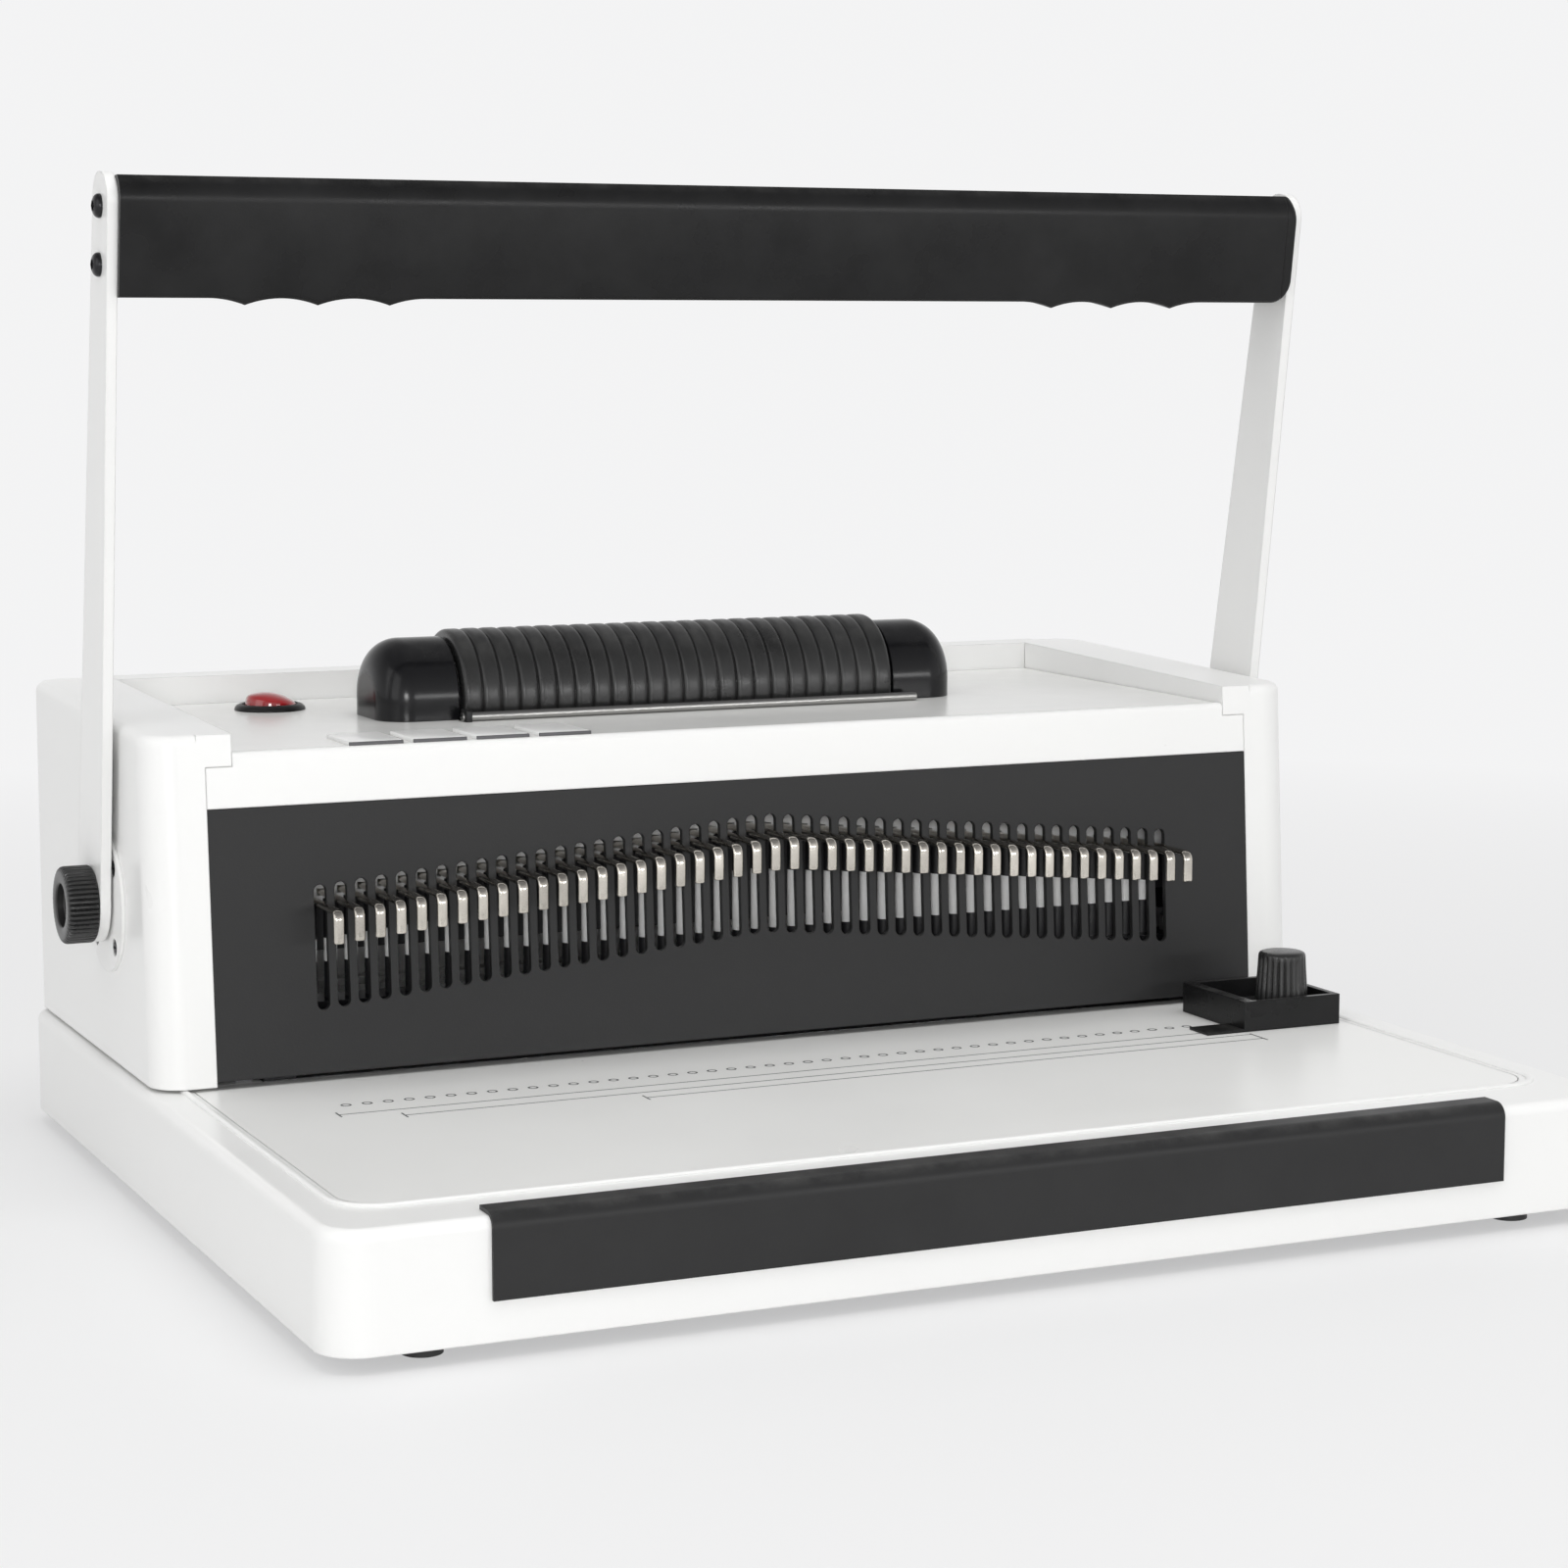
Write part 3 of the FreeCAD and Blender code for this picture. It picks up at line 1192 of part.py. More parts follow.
def make_handle():
    """Two arms on the main shaft, the grip between them and the screws that hold it."""
    low = "arm_length - grip_height"
    screw_heights = ("grip_screw_low", "grip_screw_low + grip_screw_spacing")
    screw_places = [leaned("-arm_top_ahead", height) for height in screw_heights]
    holes = {side: [clear_hole(f"{side}_grip_bore_{k}", "x", "grip_screw",
                               mirrored(side, *past("arm_out - grip_screw_length", "arm_out")), place)
                    for k, place in enumerate(screw_places)] for side in SIDES}
    screws = []
    for side in SIDES:
        x = mirrored(side, "arm_in", "arm_out")
        blade = prism(f"{side}_arm_blade", "x", [
            leaned("arm_heel_back - arm_low_width / 2 + arm_heel_lap", "arm_heel_rise"),
            leaned("arm_heel_back + arm_low_width / 2 - arm_heel_lap", "arm_heel_rise"),
            leaned("arm_top_width / 2 - arm_top_ahead", "arm_length"),
            leaned("-arm_top_width / 2 - arm_top_ahead", "arm_length"),
        ], x)
        shoulder = value(leaned("0", "arm_length - arm_top_width")[1])
        round_edges(blade, "arm_top_round",
                    lambda edge: runs_along(edge, "x") and edge.BoundBox.ZMin > shoulder)
        eye = cylinder(f"{side}_arm_eye", "x", "arm_low_width", x, leaned("arm_heel_back", "arm_heel_rise"))
        bore = cylinder(f"{side}_arm_bore", "x", "shaft_end + 2 * running_gap",
                        mirrored(side, *past("arm_in", "arm_out")), ("pivot_y", "pivot_z"))
        whole = fuse(f"{side}_arm_whole", [blade, eye])
        node(cut(f"{side}_arm", whole, [bore] + holes[side]), f"{side}_arm")
        for k, place in enumerate(screw_places):
            screws.append(screw(f"{side}_grip_screw_{k}", "x", "grip_screw",
                                mirrored(side, "arm_out - grip_screw_length", "arm_out"), "grip_screw_head",
                                mirrored(side, "arm_out", "arm_out + grip_screw_head_thick"), place))
    node(group("grip_screws", screws), "grip_screws")

    bar = prism("grip_bar", "x", [
        leaned("-grip_front", low), leaned("grip_rear", low),
        leaned("grip_rear", "arm_length"), leaned("-grip_front", "arm_length"),
    ], both_ways("arm_in"))
    middle = value(leaned("0", f"{low} + grip_height / 2")[1])
    round_edges(bar, "grip_top_round", lambda edge: runs_along(edge, "x") and edge.BoundBox.ZMin > middle)
    round_edges(bar, "grip_edge", lambda edge: runs_along(edge, "x") and edge.BoundBox.ZMax < middle
                and edge.BoundBox.ZMin < value(leaned("grip_rear", low)[1]) + 1e-3)
    ridges = []
    for side in SIDES:
        for index in range(int(value("ridge_count"))):
            ridge = doc.addObject("Part::Cylinder", f"{side}_ridge_{index}")
            bind(ridge, "Radius", "ridge_radius")
            bind(ridge, "Height", "grip_front + grip_rear - 2 * grip_edge")
            ridge.Placement = Placement(Vector(), Rotation(Vector(1, 0, 0), -90))
            bind(ridge, "Placement.Rotation.Angle", "arm_lean - 90")
            start = leaned("grip_edge - grip_front", f"{low} + ridge_radius - ridge_height")
            bind(ridge, "Placement.Base.x", handed(side, f"ridge_first_{side} + {index} * ridge_spacing"))
            bind(ridge, "Placement.Base.y", start[0])
            bind(ridge, "Placement.Base.z", start[1])
            ridges.append(ridge)
    whole = fuse("grip_whole", [bar] + ridges)
    grip_holes = [clear_hole(f"{side}_grip_pilot_{k}", "x", "grip_screw",
                             mirrored(side, *past("arm_out - grip_screw_length", "arm_out")), place)
                  for side in SIDES for k, place in enumerate(screw_places)]
    node(cut("grip", whole, grip_holes), "grip")

    centre = ("pivot_y", "pivot_z")
    node(fuse("main_shaft", [
        cylinder("shaft_middle", "x", "shaft_diameter", both_ways("arm_in"), centre),
        cylinder("shaft_ends", "x", "shaft_end", both_ways("arm_out"), centre),
        cylinder("shaft_studs", "x", "shaft_stud", both_ways("arm_out + stud_length"), centre),
    ]), "main_shaft")


def make_cranks():
    """Two cranks on the main shaft; each pin runs in the fork of a drive yoke."""
    cranks = []
    near_x = "yoke_out + crank_play"
    far_x = "yoke_out + crank_play + crank_thick"
    rise = "crank_tip / 2 * cos(half_swing)"
    run = "crank_tip / 2 * sin(half_swing)"
    for side in SIDES:
        x = mirrored(side, near_x, far_x)
        web = prism(f"{side}_crank_web", "x", [
            (f"pivot_y - {run}", f"pivot_z - {rise}"), (f"pivot_y + {run}", f"pivot_z + {rise}"),
            (f"crank_y + {run}", f"crank_z + {rise}"), (f"crank_y - {run}", f"crank_z - {rise}"),
        ], x)
        whole = fuse(f"{side}_crank_whole", [
            web,
            cylinder(f"{side}_crank_hub", "x", "crank_hub", x, ("pivot_y", "pivot_z")),
            cylinder(f"{side}_crank_tip", "x", "crank_tip", x, ("crank_y", "crank_z")),
            cylinder(f"{side}_crank_pin", "x", "crank_pin", mirrored(side, "yoke_in - crank_play", far_x),
                     ("crank_y", "crank_z")),
        ])
        bore = cylinder(f"{side}_crank_bore", "x", "shaft_diameter + 2 * running_gap",
                        mirrored(side, *past(f"{near_x}", f"{far_x}")), ("pivot_y", "pivot_z"))
        cranks.append(cut(f"{side}_crank", whole, [bore]))
    node(group("cranks", cranks), "cranks")


def make_pivot_knobs():
    """Fluted hand nuts on the shaft's studs, each with a recess round the stud's end."""
    for side in SIDES:
        body = doc.addObject("PartDesign::Body", f"{side}_knob_body")
        start = "arm_out" if side == "right" else "-knob_out"
        disc = new_sketch(body, f"{side}_knob_disc", "x", start)
        draw_circle(disc, "knob_diameter", ("pivot_y", "pivot_z"))
        pad(body, disc, "knob_thick")
        flute = new_sketch(body, f"{side}_knob_flute", "x", start)
        draw_circle(flute, "flute_diameter", ("pivot_y", "pivot_z + knob_diameter / 2"))
        pocket = through_pocket(body, flute)
        axis = body.newObject("Sketcher::SketchObject", f"{side}_knob_axis")
        axis.AttachmentSupport = [(origin_plane(body, "YZ_Plane"), "")]
        axis.MapMode = "FlatFace"
        bind(axis, "AttachmentOffset.Base.x", "pivot_y")
        bind(axis, "AttachmentOffset.Base.y", "pivot_z")
        flutes = body.newObject("PartDesign::PolarPattern", f"{side}_knob_flutes")
        flutes.Originals = [pocket]
        flutes.Axis = (axis, ["N_Axis"])
        flutes.Angle = 360
        bind(flutes, "Occurrences", "knob_flutes")
        body.Tip = flutes
        centre = ("pivot_y", "pivot_z")
        bore = cylinder(f"{side}_knob_bore", "x", "shaft_stud + 2 * running_gap",
                        mirrored(side, *past("arm_out", "knob_out")), centre)
        recess = cylinder(f"{side}_knob_recess", "x", "knob_recess",
                          mirrored(side, "knob_out - knob_recess_depth", "knob_out + cut_over"), centre)
        node(cut(f"{side}_pivot_knob", body, [bore, recess]), f"{side}_pivot_knob")


def make_roller():
    """The ribbed rubber sleeve on its stepped shaft, with the belt pulley on one end."""
    half = value("roller_half")
    pitch = value("roller_length / roller_ribs")
    crown = value("roller_diameter / 2")
    root = crown - value("rib_depth")
    gap = value("rib_gap / 2")
    shoulder = gap + value("rib_slope")
    rings = []
    for rib in range(int(value("roller_ribs"))):
        start = rib * pitch - half
        end = start + pitch
        outline = (
            (start + gap, root),
            (start + shoulder, crown),
            (end - shoulder, crown),
            (end - gap, root),
        )
        for x, radius in outline:
            rings.append(Part.Wire(Part.makeCircle(radius, Vector(x, 0, 0), Vector(1, 0, 0))))
    bore = Part.makeCylinder(value("sleeve_bore / 2"), 2 * half, Vector(-half, 0, 0), Vector(1, 0, 0))
    sleeve = doc.addObject("Part::Feature", "roller_sleeve")
    sleeve.Shape = Part.makeLoft(rings, True, True).cut(bore)
    middle = Vector(-value("roller_shift"), value("roller_y"), value("roller_z"))
    sleeve.Placement = Placement(middle, Rotation())
    node(sleeve, "roller_sleeve")

    centre = ("roller_y", "roller_z")
    node(fuse("roller_shaft", [
        cylinder("roller_core", "x", "sleeve_bore - 2 * running_gap",
                 on_roller(both_ways("roller_half - rib_gap / 2")), centre),
        cylinder("roller_ends", "x", "roller_shaft_end", on_roller(both_ways("shaft_reach")), centre),
    ]), "roller_shaft")


def pulley(name, diameter, bore, centre):
    """A flat belt pulley with a flange on both sides."""
    half = "belt_width / 2 + fit_gap"
    rim = f"{half} + pulley_flange_thick"
    drum = cylinder(f"{name}_drum", "x", diameter, around("belt_x", rim), centre)
    flanges = [cylinder(f"{name}_flange_{k}", "x", f"{diameter} + 2 * pulley_flange", span, centre)
               for k, span in enumerate(((f"belt_x - ({rim})", f"belt_x - ({half})"),
                                         (f"belt_x + {half}", f"belt_x + {rim}")))]
    hole = cylinder(f"{name}_bore", "x", f"{bore} + 2 * running_gap",
                    past(*around("belt_x", rim)), centre)
    node(cut(name, fuse(f"{name}_whole", [drum] + flanges), [hole]), name)


def belt_loop(grow):
    """The area inside a loop round both pulleys: two arcs and their outer tangents."""
    x = value("belt_x - belt_width / 2")
    large = Vector(x, value("roller_y"), value("roller_z"))
    small = Vector(x, value("motor_y"), value("motor_z"))
    large_radius = value("roller_pulley / 2 + fit_gap") + grow
    small_radius = value("motor_pulley / 2 + fit_gap") + grow
    line = small - large
    cosine = (large_radius - small_radius) / line.Length
    sine = math.sqrt(1 - cosine ** 2)
    line.normalize()
    square = Vector(0, -line.z, line.y)
    ahead = line * cosine + square * sine
    behind = line * cosine - square * sine
    edges = [
        Part.LineSegment(large + ahead * large_radius, small + ahead * small_radius),
        Part.Arc(small + ahead * small_radius, small + line * small_radius, small + behind * small_radius),
        Part.LineSegment(small + behind * small_radius, large + behind * large_radius),
        Part.Arc(large + behind * large_radius, large - line * large_radius, large + ahead * large_radius),
    ]
    return Part.Face(Part.Wire([edge.toShape() for edge in edges]))


def make_drive():
    """Motor on its bracket, its shaft, both pulleys and the belt."""
    centre = ("motor_y", "motor_z")
    boss = ("bracket_x - cut_over", "bracket_x + motor_boss_length")
    body = fuse("motor_body", [
        cylinder("motor_can", "x", "motor_diameter", ("bracket_x - motor_length", "bracket_x"), centre),
        cylinder("motor_nose", "x", "motor_boss", boss, centre),
    ])
    shaft_in = "bracket_x - 2 * motor_boss_length"
    bore_x = (f"{shaft_in} - running_gap", "bracket_x + motor_boss_length + cut_over")
    bore = cylinder("motor_bore", "x", "motor_shaft + 2 * running_gap", bore_x, centre)
    node(cut("motor", body, [bore]), "motor")
    shaft_x = (shaft_in, "belt_x + belt_width + pulley_flange")
    node(cylinder("motor_shaft", "x", "motor_shaft", shaft_x, centre), "motor_shaft")
    half = "motor_diameter / 2 + bracket_margin"
    plate_x = ("bracket_x", "bracket_x + bracket_thick")
    plate = box("bracket_plate", plate_x, around("motor_y", half),
                ("rear_tie_z + rear_tie_depth", f"motor_z + {half}"))
    hole = clear_hole("bracket_bore", "x", "motor_boss", past(*plate_x), centre)
    node(cut("motor_bracket", plate, [hole]), "motor_bracket")
    pulley("roller_pulley", "roller_pulley", "roller_shaft_end", ("roller_y", "roller_z"))
    pulley("motor_pulley", "motor_pulley", "motor_shaft", centre)
    width = Vector(value("belt_width"), 0, 0)
    belt = doc.addObject("Part::Feature", "drive_belt")
    belt.Shape = belt_loop(value("belt_thick")).extrude(width).cut(belt_loop(0).extrude(width))
    belt.Placement = Placement()
    node(belt, "drive_belt")


def housing_block(name, side, inset, x, radius):
    """A roller housing's outline: straight sides up to a half round, its outer end rounded over."""
    body = doc.addObject("PartDesign::Body", name)
    sketch = new_sketch(body, f"{name}_outline", "x", x[0])
    half = f"(housing_radius - {inset})"
    low = "top_face" if inset == "0" else "top_face - cut_over"
    walls = [
        ((f"roller_y - {half}", "roller_z"), (f"roller_y - {half}", low)),
        ((f"roller_y - {half}", low), (f"roller_y + {half}", low)),
        ((f"roller_y + {half}", low), (f"roller_y + {half}", "roller_z")),
    ]
    for wall in walls:
        line = sketch.addGeometry(Part.LineSegment(*[Vector(value(u), value(v), 0) for u, v in wall]))
        pin_point(sketch, line, 1, wall[0])
        pin_point(sketch, line, 2, wall[1])
    draw_arc(sketch, ("roller_y", "roller_z"), f"2 * {half}", (0, math.pi), 2, 0)
    pad(body, sketch, f"({x[1]}) - ({x[0]})")
    outer = x[1] if side == "right" else x[0]
    round_edges(body, radius, lambda edge: lies_at(edge, "x", outer) and not lies_at(edge, "z", low))
    return body


def make_housings():
    """The black end housings of the roller, their bushes and the coil guide bar."""
    bushes = []
    centre = ("roller_y", "roller_z")
    for side in SIDES:
        length = on_roller(mirrored(side, "housing_in", "housing_out"))
        hollow = on_roller(mirrored(side, "housing_in + housing_end_wall", "housing_out - housing_wall"))
        wall = on_roller(mirrored(side, *past("housing_in", "housing_in + housing_end_wall")))
        bush = on_roller(mirrored(side, "housing_in", "housing_in + roller_bush_length"))
        outside = housing_block(f"{side}_housing_outside", side, "0", length, "housing_round")
        inside = housing_block(f"{side}_housing_inside", side, "housing_wall", hollow,
                               "housing_round - housing_wall")
        seat = cylinder(f"{side}_roller_bush_seat", "x", "roller_bush + 2 * running_gap", wall, centre)
        node(cut(f"{side}_roller_housing", outside, [inside, seat]), f"{side}_roller_housing")
        tube = cylinder(f"{side}_roller_bush_tube", "x", "roller_bush", bush, centre)
        bore = cylinder(f"{side}_roller_bush_bore", "x", "roller_shaft_end + 2 * running_gap", past(*bush),
                        centre)
        bushes.append(cut(f"{side}_roller_bush", tube, [bore]))
    node(group("roller_bushes", bushes), "roller_bushes")
    node(cylinder("coil_guide_bar", "x", "guide_bar_diameter", both_ways("guide_bar_half"),
                  ("guide_bar_y", "top_face + guide_bar_diameter / 2")), "coil_guide_bar")


def make_switch():
    """A round rocker switch: its bezel and barrel, and the domed rocker tipped to the left."""
    place = ("switch_x", "switch_y")
    outside = fuse("switch_outside", [
        cylinder("switch_bezel", "z", "bezel_diameter", ("top_face", "top_face + bezel_thick"), place),
        cylinder("switch_barrel", "z", "barrel_diameter", ("top_face - barrel_length", "top_face + cut_over"),
                 place),
    ])
    well = cylinder("switch_well", "z", "rocker_diameter + 2 * rocker_gap",
                    ("top_face - barrel_well", "top_face + bezel_thick + cut_over"), place)
    node(cut("switch_body", outside, [well]), "switch_body")

    button = cylinder("rocker_button", "z", "rocker_diameter", ("-rocker_skirt", "rocker_rise"), ("0", "0"))
    dome = doc.addObject("Part::Sphere", "rocker_crown")
    bind(dome, "Radius", "rocker_dome")
    bind(dome, "Placement.Base.z", "rocker_rise - rocker_dome")
    rocker = doc.addObject("Part::Common", "rocker")
    rocker.Base = button
    rocker.Tool = dome
    rocker.Placement = Placement(Vector(), Rotation(Vector(0, 1, 0), 1))
    bind(rocker, "Placement.Rotation.Angle", "rocker_tilt")
    bind(rocker, "Placement.Base.x", "switch_x")
    bind(rocker, "Placement.Base.y", "switch_y")
    bind(rocker, "Placement.Base.z", "top_face")
    node(rocker, "rocker")


def make_edge_guide():
    """The edge guide on the table: a shallow tray with a tongue, clamped by a knob on a stud."""
    right = "guide_left + guide_width"
    rear = "guide_front + guide_depth"
    top = "guide_low + guide_block_height"
    block = box("guide_tray_block", ("guide_left", right), ("guide_front", rear), ("guide_low", top))
    tongue = box("guide_tongue", ("guide_left - tongue_length", "guide_left + cut_over"),
                 ("guide_front", "guide_front + tongue_depth"), ("guide_low", "guide_low + tongue_thick"))
    tray = box("guide_tray_inside", ("guide_left + guide_left_wall", f"{right} - guide_rim"),
               ("guide_front + guide_rim", f"{rear} - guide_rim"),
               ("guide_low + guide_floor", f"{top} + cut_over"))
    place = ("guide_stud_x", "guide_stud_y")
    hole = clear_hole("guide_stud_hole", "z", "guide_stud", past("guide_low", top), place)
    node(cut("edge_guide", fuse("guide_whole", [block, tongue]), [tray, hole]), "edge_guide")

    half = "clamp_size / 2"
    clamp_top = "deck_low - seam_gap"
    pad_block = box("clamp_pad", around("guide_stud_x", half), around("guide_stud_y", half),
                    (f"{clamp_top} - clamp_thick", clamp_top))
    stud_top = "knob_low + guide_knob_height * 2 / 3"
    stud = cylinder("clamp_stud", "z", "guide_stud", (f"{clamp_top} - cut_over", stud_top), place)
    node(fuse("guide_clamp", [pad_block, stud]), "guide_clamp")

    knob = doc.addObject("Part::Cone", "guide_knob_cone")
    bind(knob, "Radius1", "guide_knob_diameter / 2")
    bind(knob, "Radius2", "guide_knob_top / 2")
    bind(knob, "Height", "guide_knob_height")
    for letter, text in zip("xyz", place + ("knob_low",)):
        bind(knob, "Placement.Base." + letter, text)
    bore = cylinder("guide_knob_bore", "z", "guide_stud + 2 * running_gap", past("knob_low", stud_top), place)
    node(cut("guide_knob", knob, [bore]), "guide_knob")


def write_parts():
    """Writes each piece to its own file, once every one of them is sound."""
    doc.recompute()
    failed = [thing.Name for thing in doc.Objects if {"Invalid", "Error"} & set(thing.State)]
    failed += [thing.Label for thing in nodes if thing.Shape.isNull() or not thing.Shape.isValid()]
    if failed:
        raise RuntimeError("failed: " + ", ".join(failed))
    for thing in nodes:
        thing.Shape.exportStep(f"parts/{thing.Label}.step")
    print(len(nodes), "pieces written")


make_base()
make_underside()
make_drawer()
make_frames()
make_die_set()
make_press()
make_cheeks()
make_front_panel()
make_covers()
make_power_inlet()
make_handle()
make_cranks()
make_pivot_knobs()
make_roller()
make_drive()
make_housings()
make_switch()
make_edge_guide()
write_parts()
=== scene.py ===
"""The finishes, shaped pieces and studio of a coil punch-and-bind machine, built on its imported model."""
import json
import math

import bmesh
import bpy
import numpy as np
from bpy.props import FloatProperty, FloatVectorProperty, IntProperty, PointerProperty
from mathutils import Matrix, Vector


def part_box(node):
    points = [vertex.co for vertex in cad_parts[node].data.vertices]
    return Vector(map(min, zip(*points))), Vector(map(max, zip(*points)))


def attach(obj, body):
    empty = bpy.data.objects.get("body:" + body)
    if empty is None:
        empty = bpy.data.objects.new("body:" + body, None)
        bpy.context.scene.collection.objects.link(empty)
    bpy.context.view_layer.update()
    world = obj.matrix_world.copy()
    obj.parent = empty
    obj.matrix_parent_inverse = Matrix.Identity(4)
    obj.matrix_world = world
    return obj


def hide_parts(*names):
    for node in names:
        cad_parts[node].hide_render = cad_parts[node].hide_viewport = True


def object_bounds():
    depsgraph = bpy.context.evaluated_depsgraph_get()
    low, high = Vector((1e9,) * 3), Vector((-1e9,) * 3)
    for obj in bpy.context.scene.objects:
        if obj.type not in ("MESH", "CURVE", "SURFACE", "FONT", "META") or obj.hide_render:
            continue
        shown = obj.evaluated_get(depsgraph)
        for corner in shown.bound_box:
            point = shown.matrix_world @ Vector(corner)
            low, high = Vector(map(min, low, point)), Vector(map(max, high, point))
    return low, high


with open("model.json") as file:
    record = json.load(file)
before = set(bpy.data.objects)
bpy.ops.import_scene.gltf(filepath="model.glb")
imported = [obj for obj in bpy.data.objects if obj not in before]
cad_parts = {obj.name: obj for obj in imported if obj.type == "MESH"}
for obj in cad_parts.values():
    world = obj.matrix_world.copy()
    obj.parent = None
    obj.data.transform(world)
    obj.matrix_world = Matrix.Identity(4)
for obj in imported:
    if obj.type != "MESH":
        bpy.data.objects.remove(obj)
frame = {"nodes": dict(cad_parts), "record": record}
CAD_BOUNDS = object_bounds()
SLOT_COLOURS = {entry["slot"]: entry["base_color"] for entry in frame["record"]["materials"]}
NODE_SLOTS = {entry["node"]: entry["material_slot"] for entry in frame["record"]["subparts"]}
SIDES = (-1, 1)

# Nodes that keep their built shape but not the finish of their slot.
# The punch pins and press bar are pale only in bands that follow the row of hooks and dark elsewhere: painted
# light and shade, as seen through the panel's slots.
OWN_FINISHES = {"press_bar": "bar_plating", "tie_bars": "black_oxide", "paper_stop": "black_oxide",
                "pin_guide_block": "black_oxide", "punch_pins": "pin_plating", "bar_guides": "black_oxide",
                "top_plate": "top_paint"}

HANDLE_LEAN = math.radians(8.5)
PANEL_LEAN = math.radians(3.83)
SENSOR_WIDTH = 36
FLOOR_REACH = 4
CEILING_SPAN = (0.15, 0.8)
DUST_COLOUR = (0.5, 0.49, 0.47, 1.0)
DRAWN_ALONG_X = {"stretch": (0.06, 1.0, 1.0)}
TURNED_ABOUT_Z = {"stretch": (1.0, 1.0, 0.08)}
EVEN_GLOSS = {"spread": 0.03}
METAL = {"Metallic": 1.0}

# Finish: colour, roughness, grain's scale, relief, tones, tone of worn edges, share of the wear, share of the
# dust, and what differs from the plain settings of make_finish.
FINISHES = {
    "white_paint": ("enamel", 0.3, 900.0, 0.015, (0.99, 1.0), 0.97, 0.3, 0, {"edge": 0.0007, **EVEN_GLOSS}),
    # The table's enamel is set paler than the top plate's, which shares its slot, to make up for the shade the
    # head casts on the table: painted light.
    "table_paint": ("table", 0.3, 700.0, 0.015, (0.985, 1.005), 0.97, 0.3, 0, {"edge": 0.0006, **EVEN_GLOSS}),
    "top_paint": ("top", 0.24, 700.0, 0.015, (0.985, 1.005), 0.97, 0.3, 0, {"edge": 0.0006, **EVEN_GLOSS}),
    "dark_paint": ("charcoal", 0.42, 1500.0, 0.06, (0.9, 1.1), 1.8, 1, 1,
                   {"edge": 0.0006, "Specular_IOR_Level": 0.25}),
    "black_plastic": ("moulding", 0.3, 1800.0, 0.05, (0.75, 1.5), 2.2, 1, 1, {"Specular_IOR_Level": 0.22}),
    "knob_plastic": ("knob", 0.3, 2400.0, 0.03, (0.85, 1.2), 1.8, 0.5, 0, {"edge": 0.0001}),
    "gloss_black": ("gloss", 0.18, 500.0, 0.012, (0.9, 1.1), 1.5, 0.5, 0.5,
                    {"edge": 0.0008, "Specular_IOR_Level": 0.3, **EVEN_GLOSS}),
    "red_lens": ("lens", 0.14, 800.0, 0.02, (0.75, 1.1), 1.4, 0.4, 1,
                 {"Coat_Weight": 0.8, "Coat_Roughness": 0.05}),
    "rubber": ("rubber", 0.6, 2600.0, 0.12, (0.8, 1.25), 2.0, 1, 1, {"edge": 0.0004}),
    "sleeve_rubber": ("rubber", 0.3, 2200.0, 0.08, (0.5, 0.85), 1.6, 1, 1, {"edge": 0.0003}),
    "nickel": ("nickel", 0.24, 1200.0, 0.03, (0.9, 1.05), 1.15, 0.5, 0,
               {"spread": 0.08, **DRAWN_ALONG_X, **METAL}),
    "pull_plating": ("pull", 0.17, 1600.0, 0.06, (0.7, 1.2), 1.2, 0.5, 0,
                     {"edge": 0.0003, "spread": 0.05, **METAL}),
    # These two bands paint the light and shade seen through the slots: pale where light falls in, dark oxide
    # where it is shaded.
    "bar_plating": ("oxide", 0.5, 1200.0, 0.03, (0.92, 1.05), 1.1, 0.5, 0, {}),
    "pin_plating": ("bar", 0.4, 1200.0, 0.03, (1.0, 1.1), 1.1, 0.5, 0, {}),
    "bright_steel": ("ground", 0.28, 1500.0, 0.04, (0.85, 1.1), 1.2, 0.5, 0,
                     {"spread": 0.08, **DRAWN_ALONG_X, **METAL}),
    "zinc_steel": ("zinc", 0.34, 300.0, 0.03, (0.85, 1.12), 1.25, 0.5, 0, {"spread": 0.1, **METAL}),
    "aluminium": ("aluminium", 0.32, 1500.0, 0.03, (0.88, 1.08), 1.15, 0.5, 0,
                  {"spread": 0.07, **DRAWN_ALONG_X, **METAL}),
    "brass": ("brass", 0.3, 900.0, 0.03, (0.8, 1.1), 1.2, 0.5, 0, {"spread": 0.08, **TURNED_ABOUT_Z, **METAL}),
    "inner_steel": ("primer", 0.5, 900.0, 0.05, (0.88, 1.1), 1.5, 1, 1, {}),
    "black_oxide": ("oxide", 0.24, 900.0, 0.03, (0.8, 1.3), 3.0, 1, 0, {"edge": 0.0003, "Metallic": 0.6}),
    # The ink finish also darkens the strips before the blank pads: painted shadow.
    "ink": ("ink", 0.45, 1800.0, 0.02, (0.85, 1.3), 1.3, 0, 0, {}),
}

# Lamp: width, height and place.
LAMPS = {
    "key": (0.25, 0.25, (-0.62, -1.36, 0.33)),
    "fill": (1.4, 1.4, (-1.5, -0.5, 0.8)),
    "top": (1.4, 1.4, (0.1, -0.3, 1.65)),
    "strip": (0.8, 0.1, (0.5, -1.4, 0.3)),
}

bl_info = {
    "name": "Coil binding machine",
    "version": (1, 0, 0),
    "blender": (4, 5, 0),
    "location": "View3D > Sidebar > Binder",
    "description": "Finishes, shaped pieces and studio of a coil punch-and-bind machine",
    "category": "Object",
}


def length(name, description, default):
    """A size in metres that a user may change."""
    return FloatProperty(name=name, description=description, default=default, min=0, precision=5, unit="LENGTH")


def share(name, description, default):
    """A number from nothing to all."""
    return FloatProperty(name=name, description=description, default=default, min=0, max=1, subtype="FACTOR")


def number(name, description, default):
    """A count of like features."""
    return IntProperty(name=name, description=description, default=default, min=1)


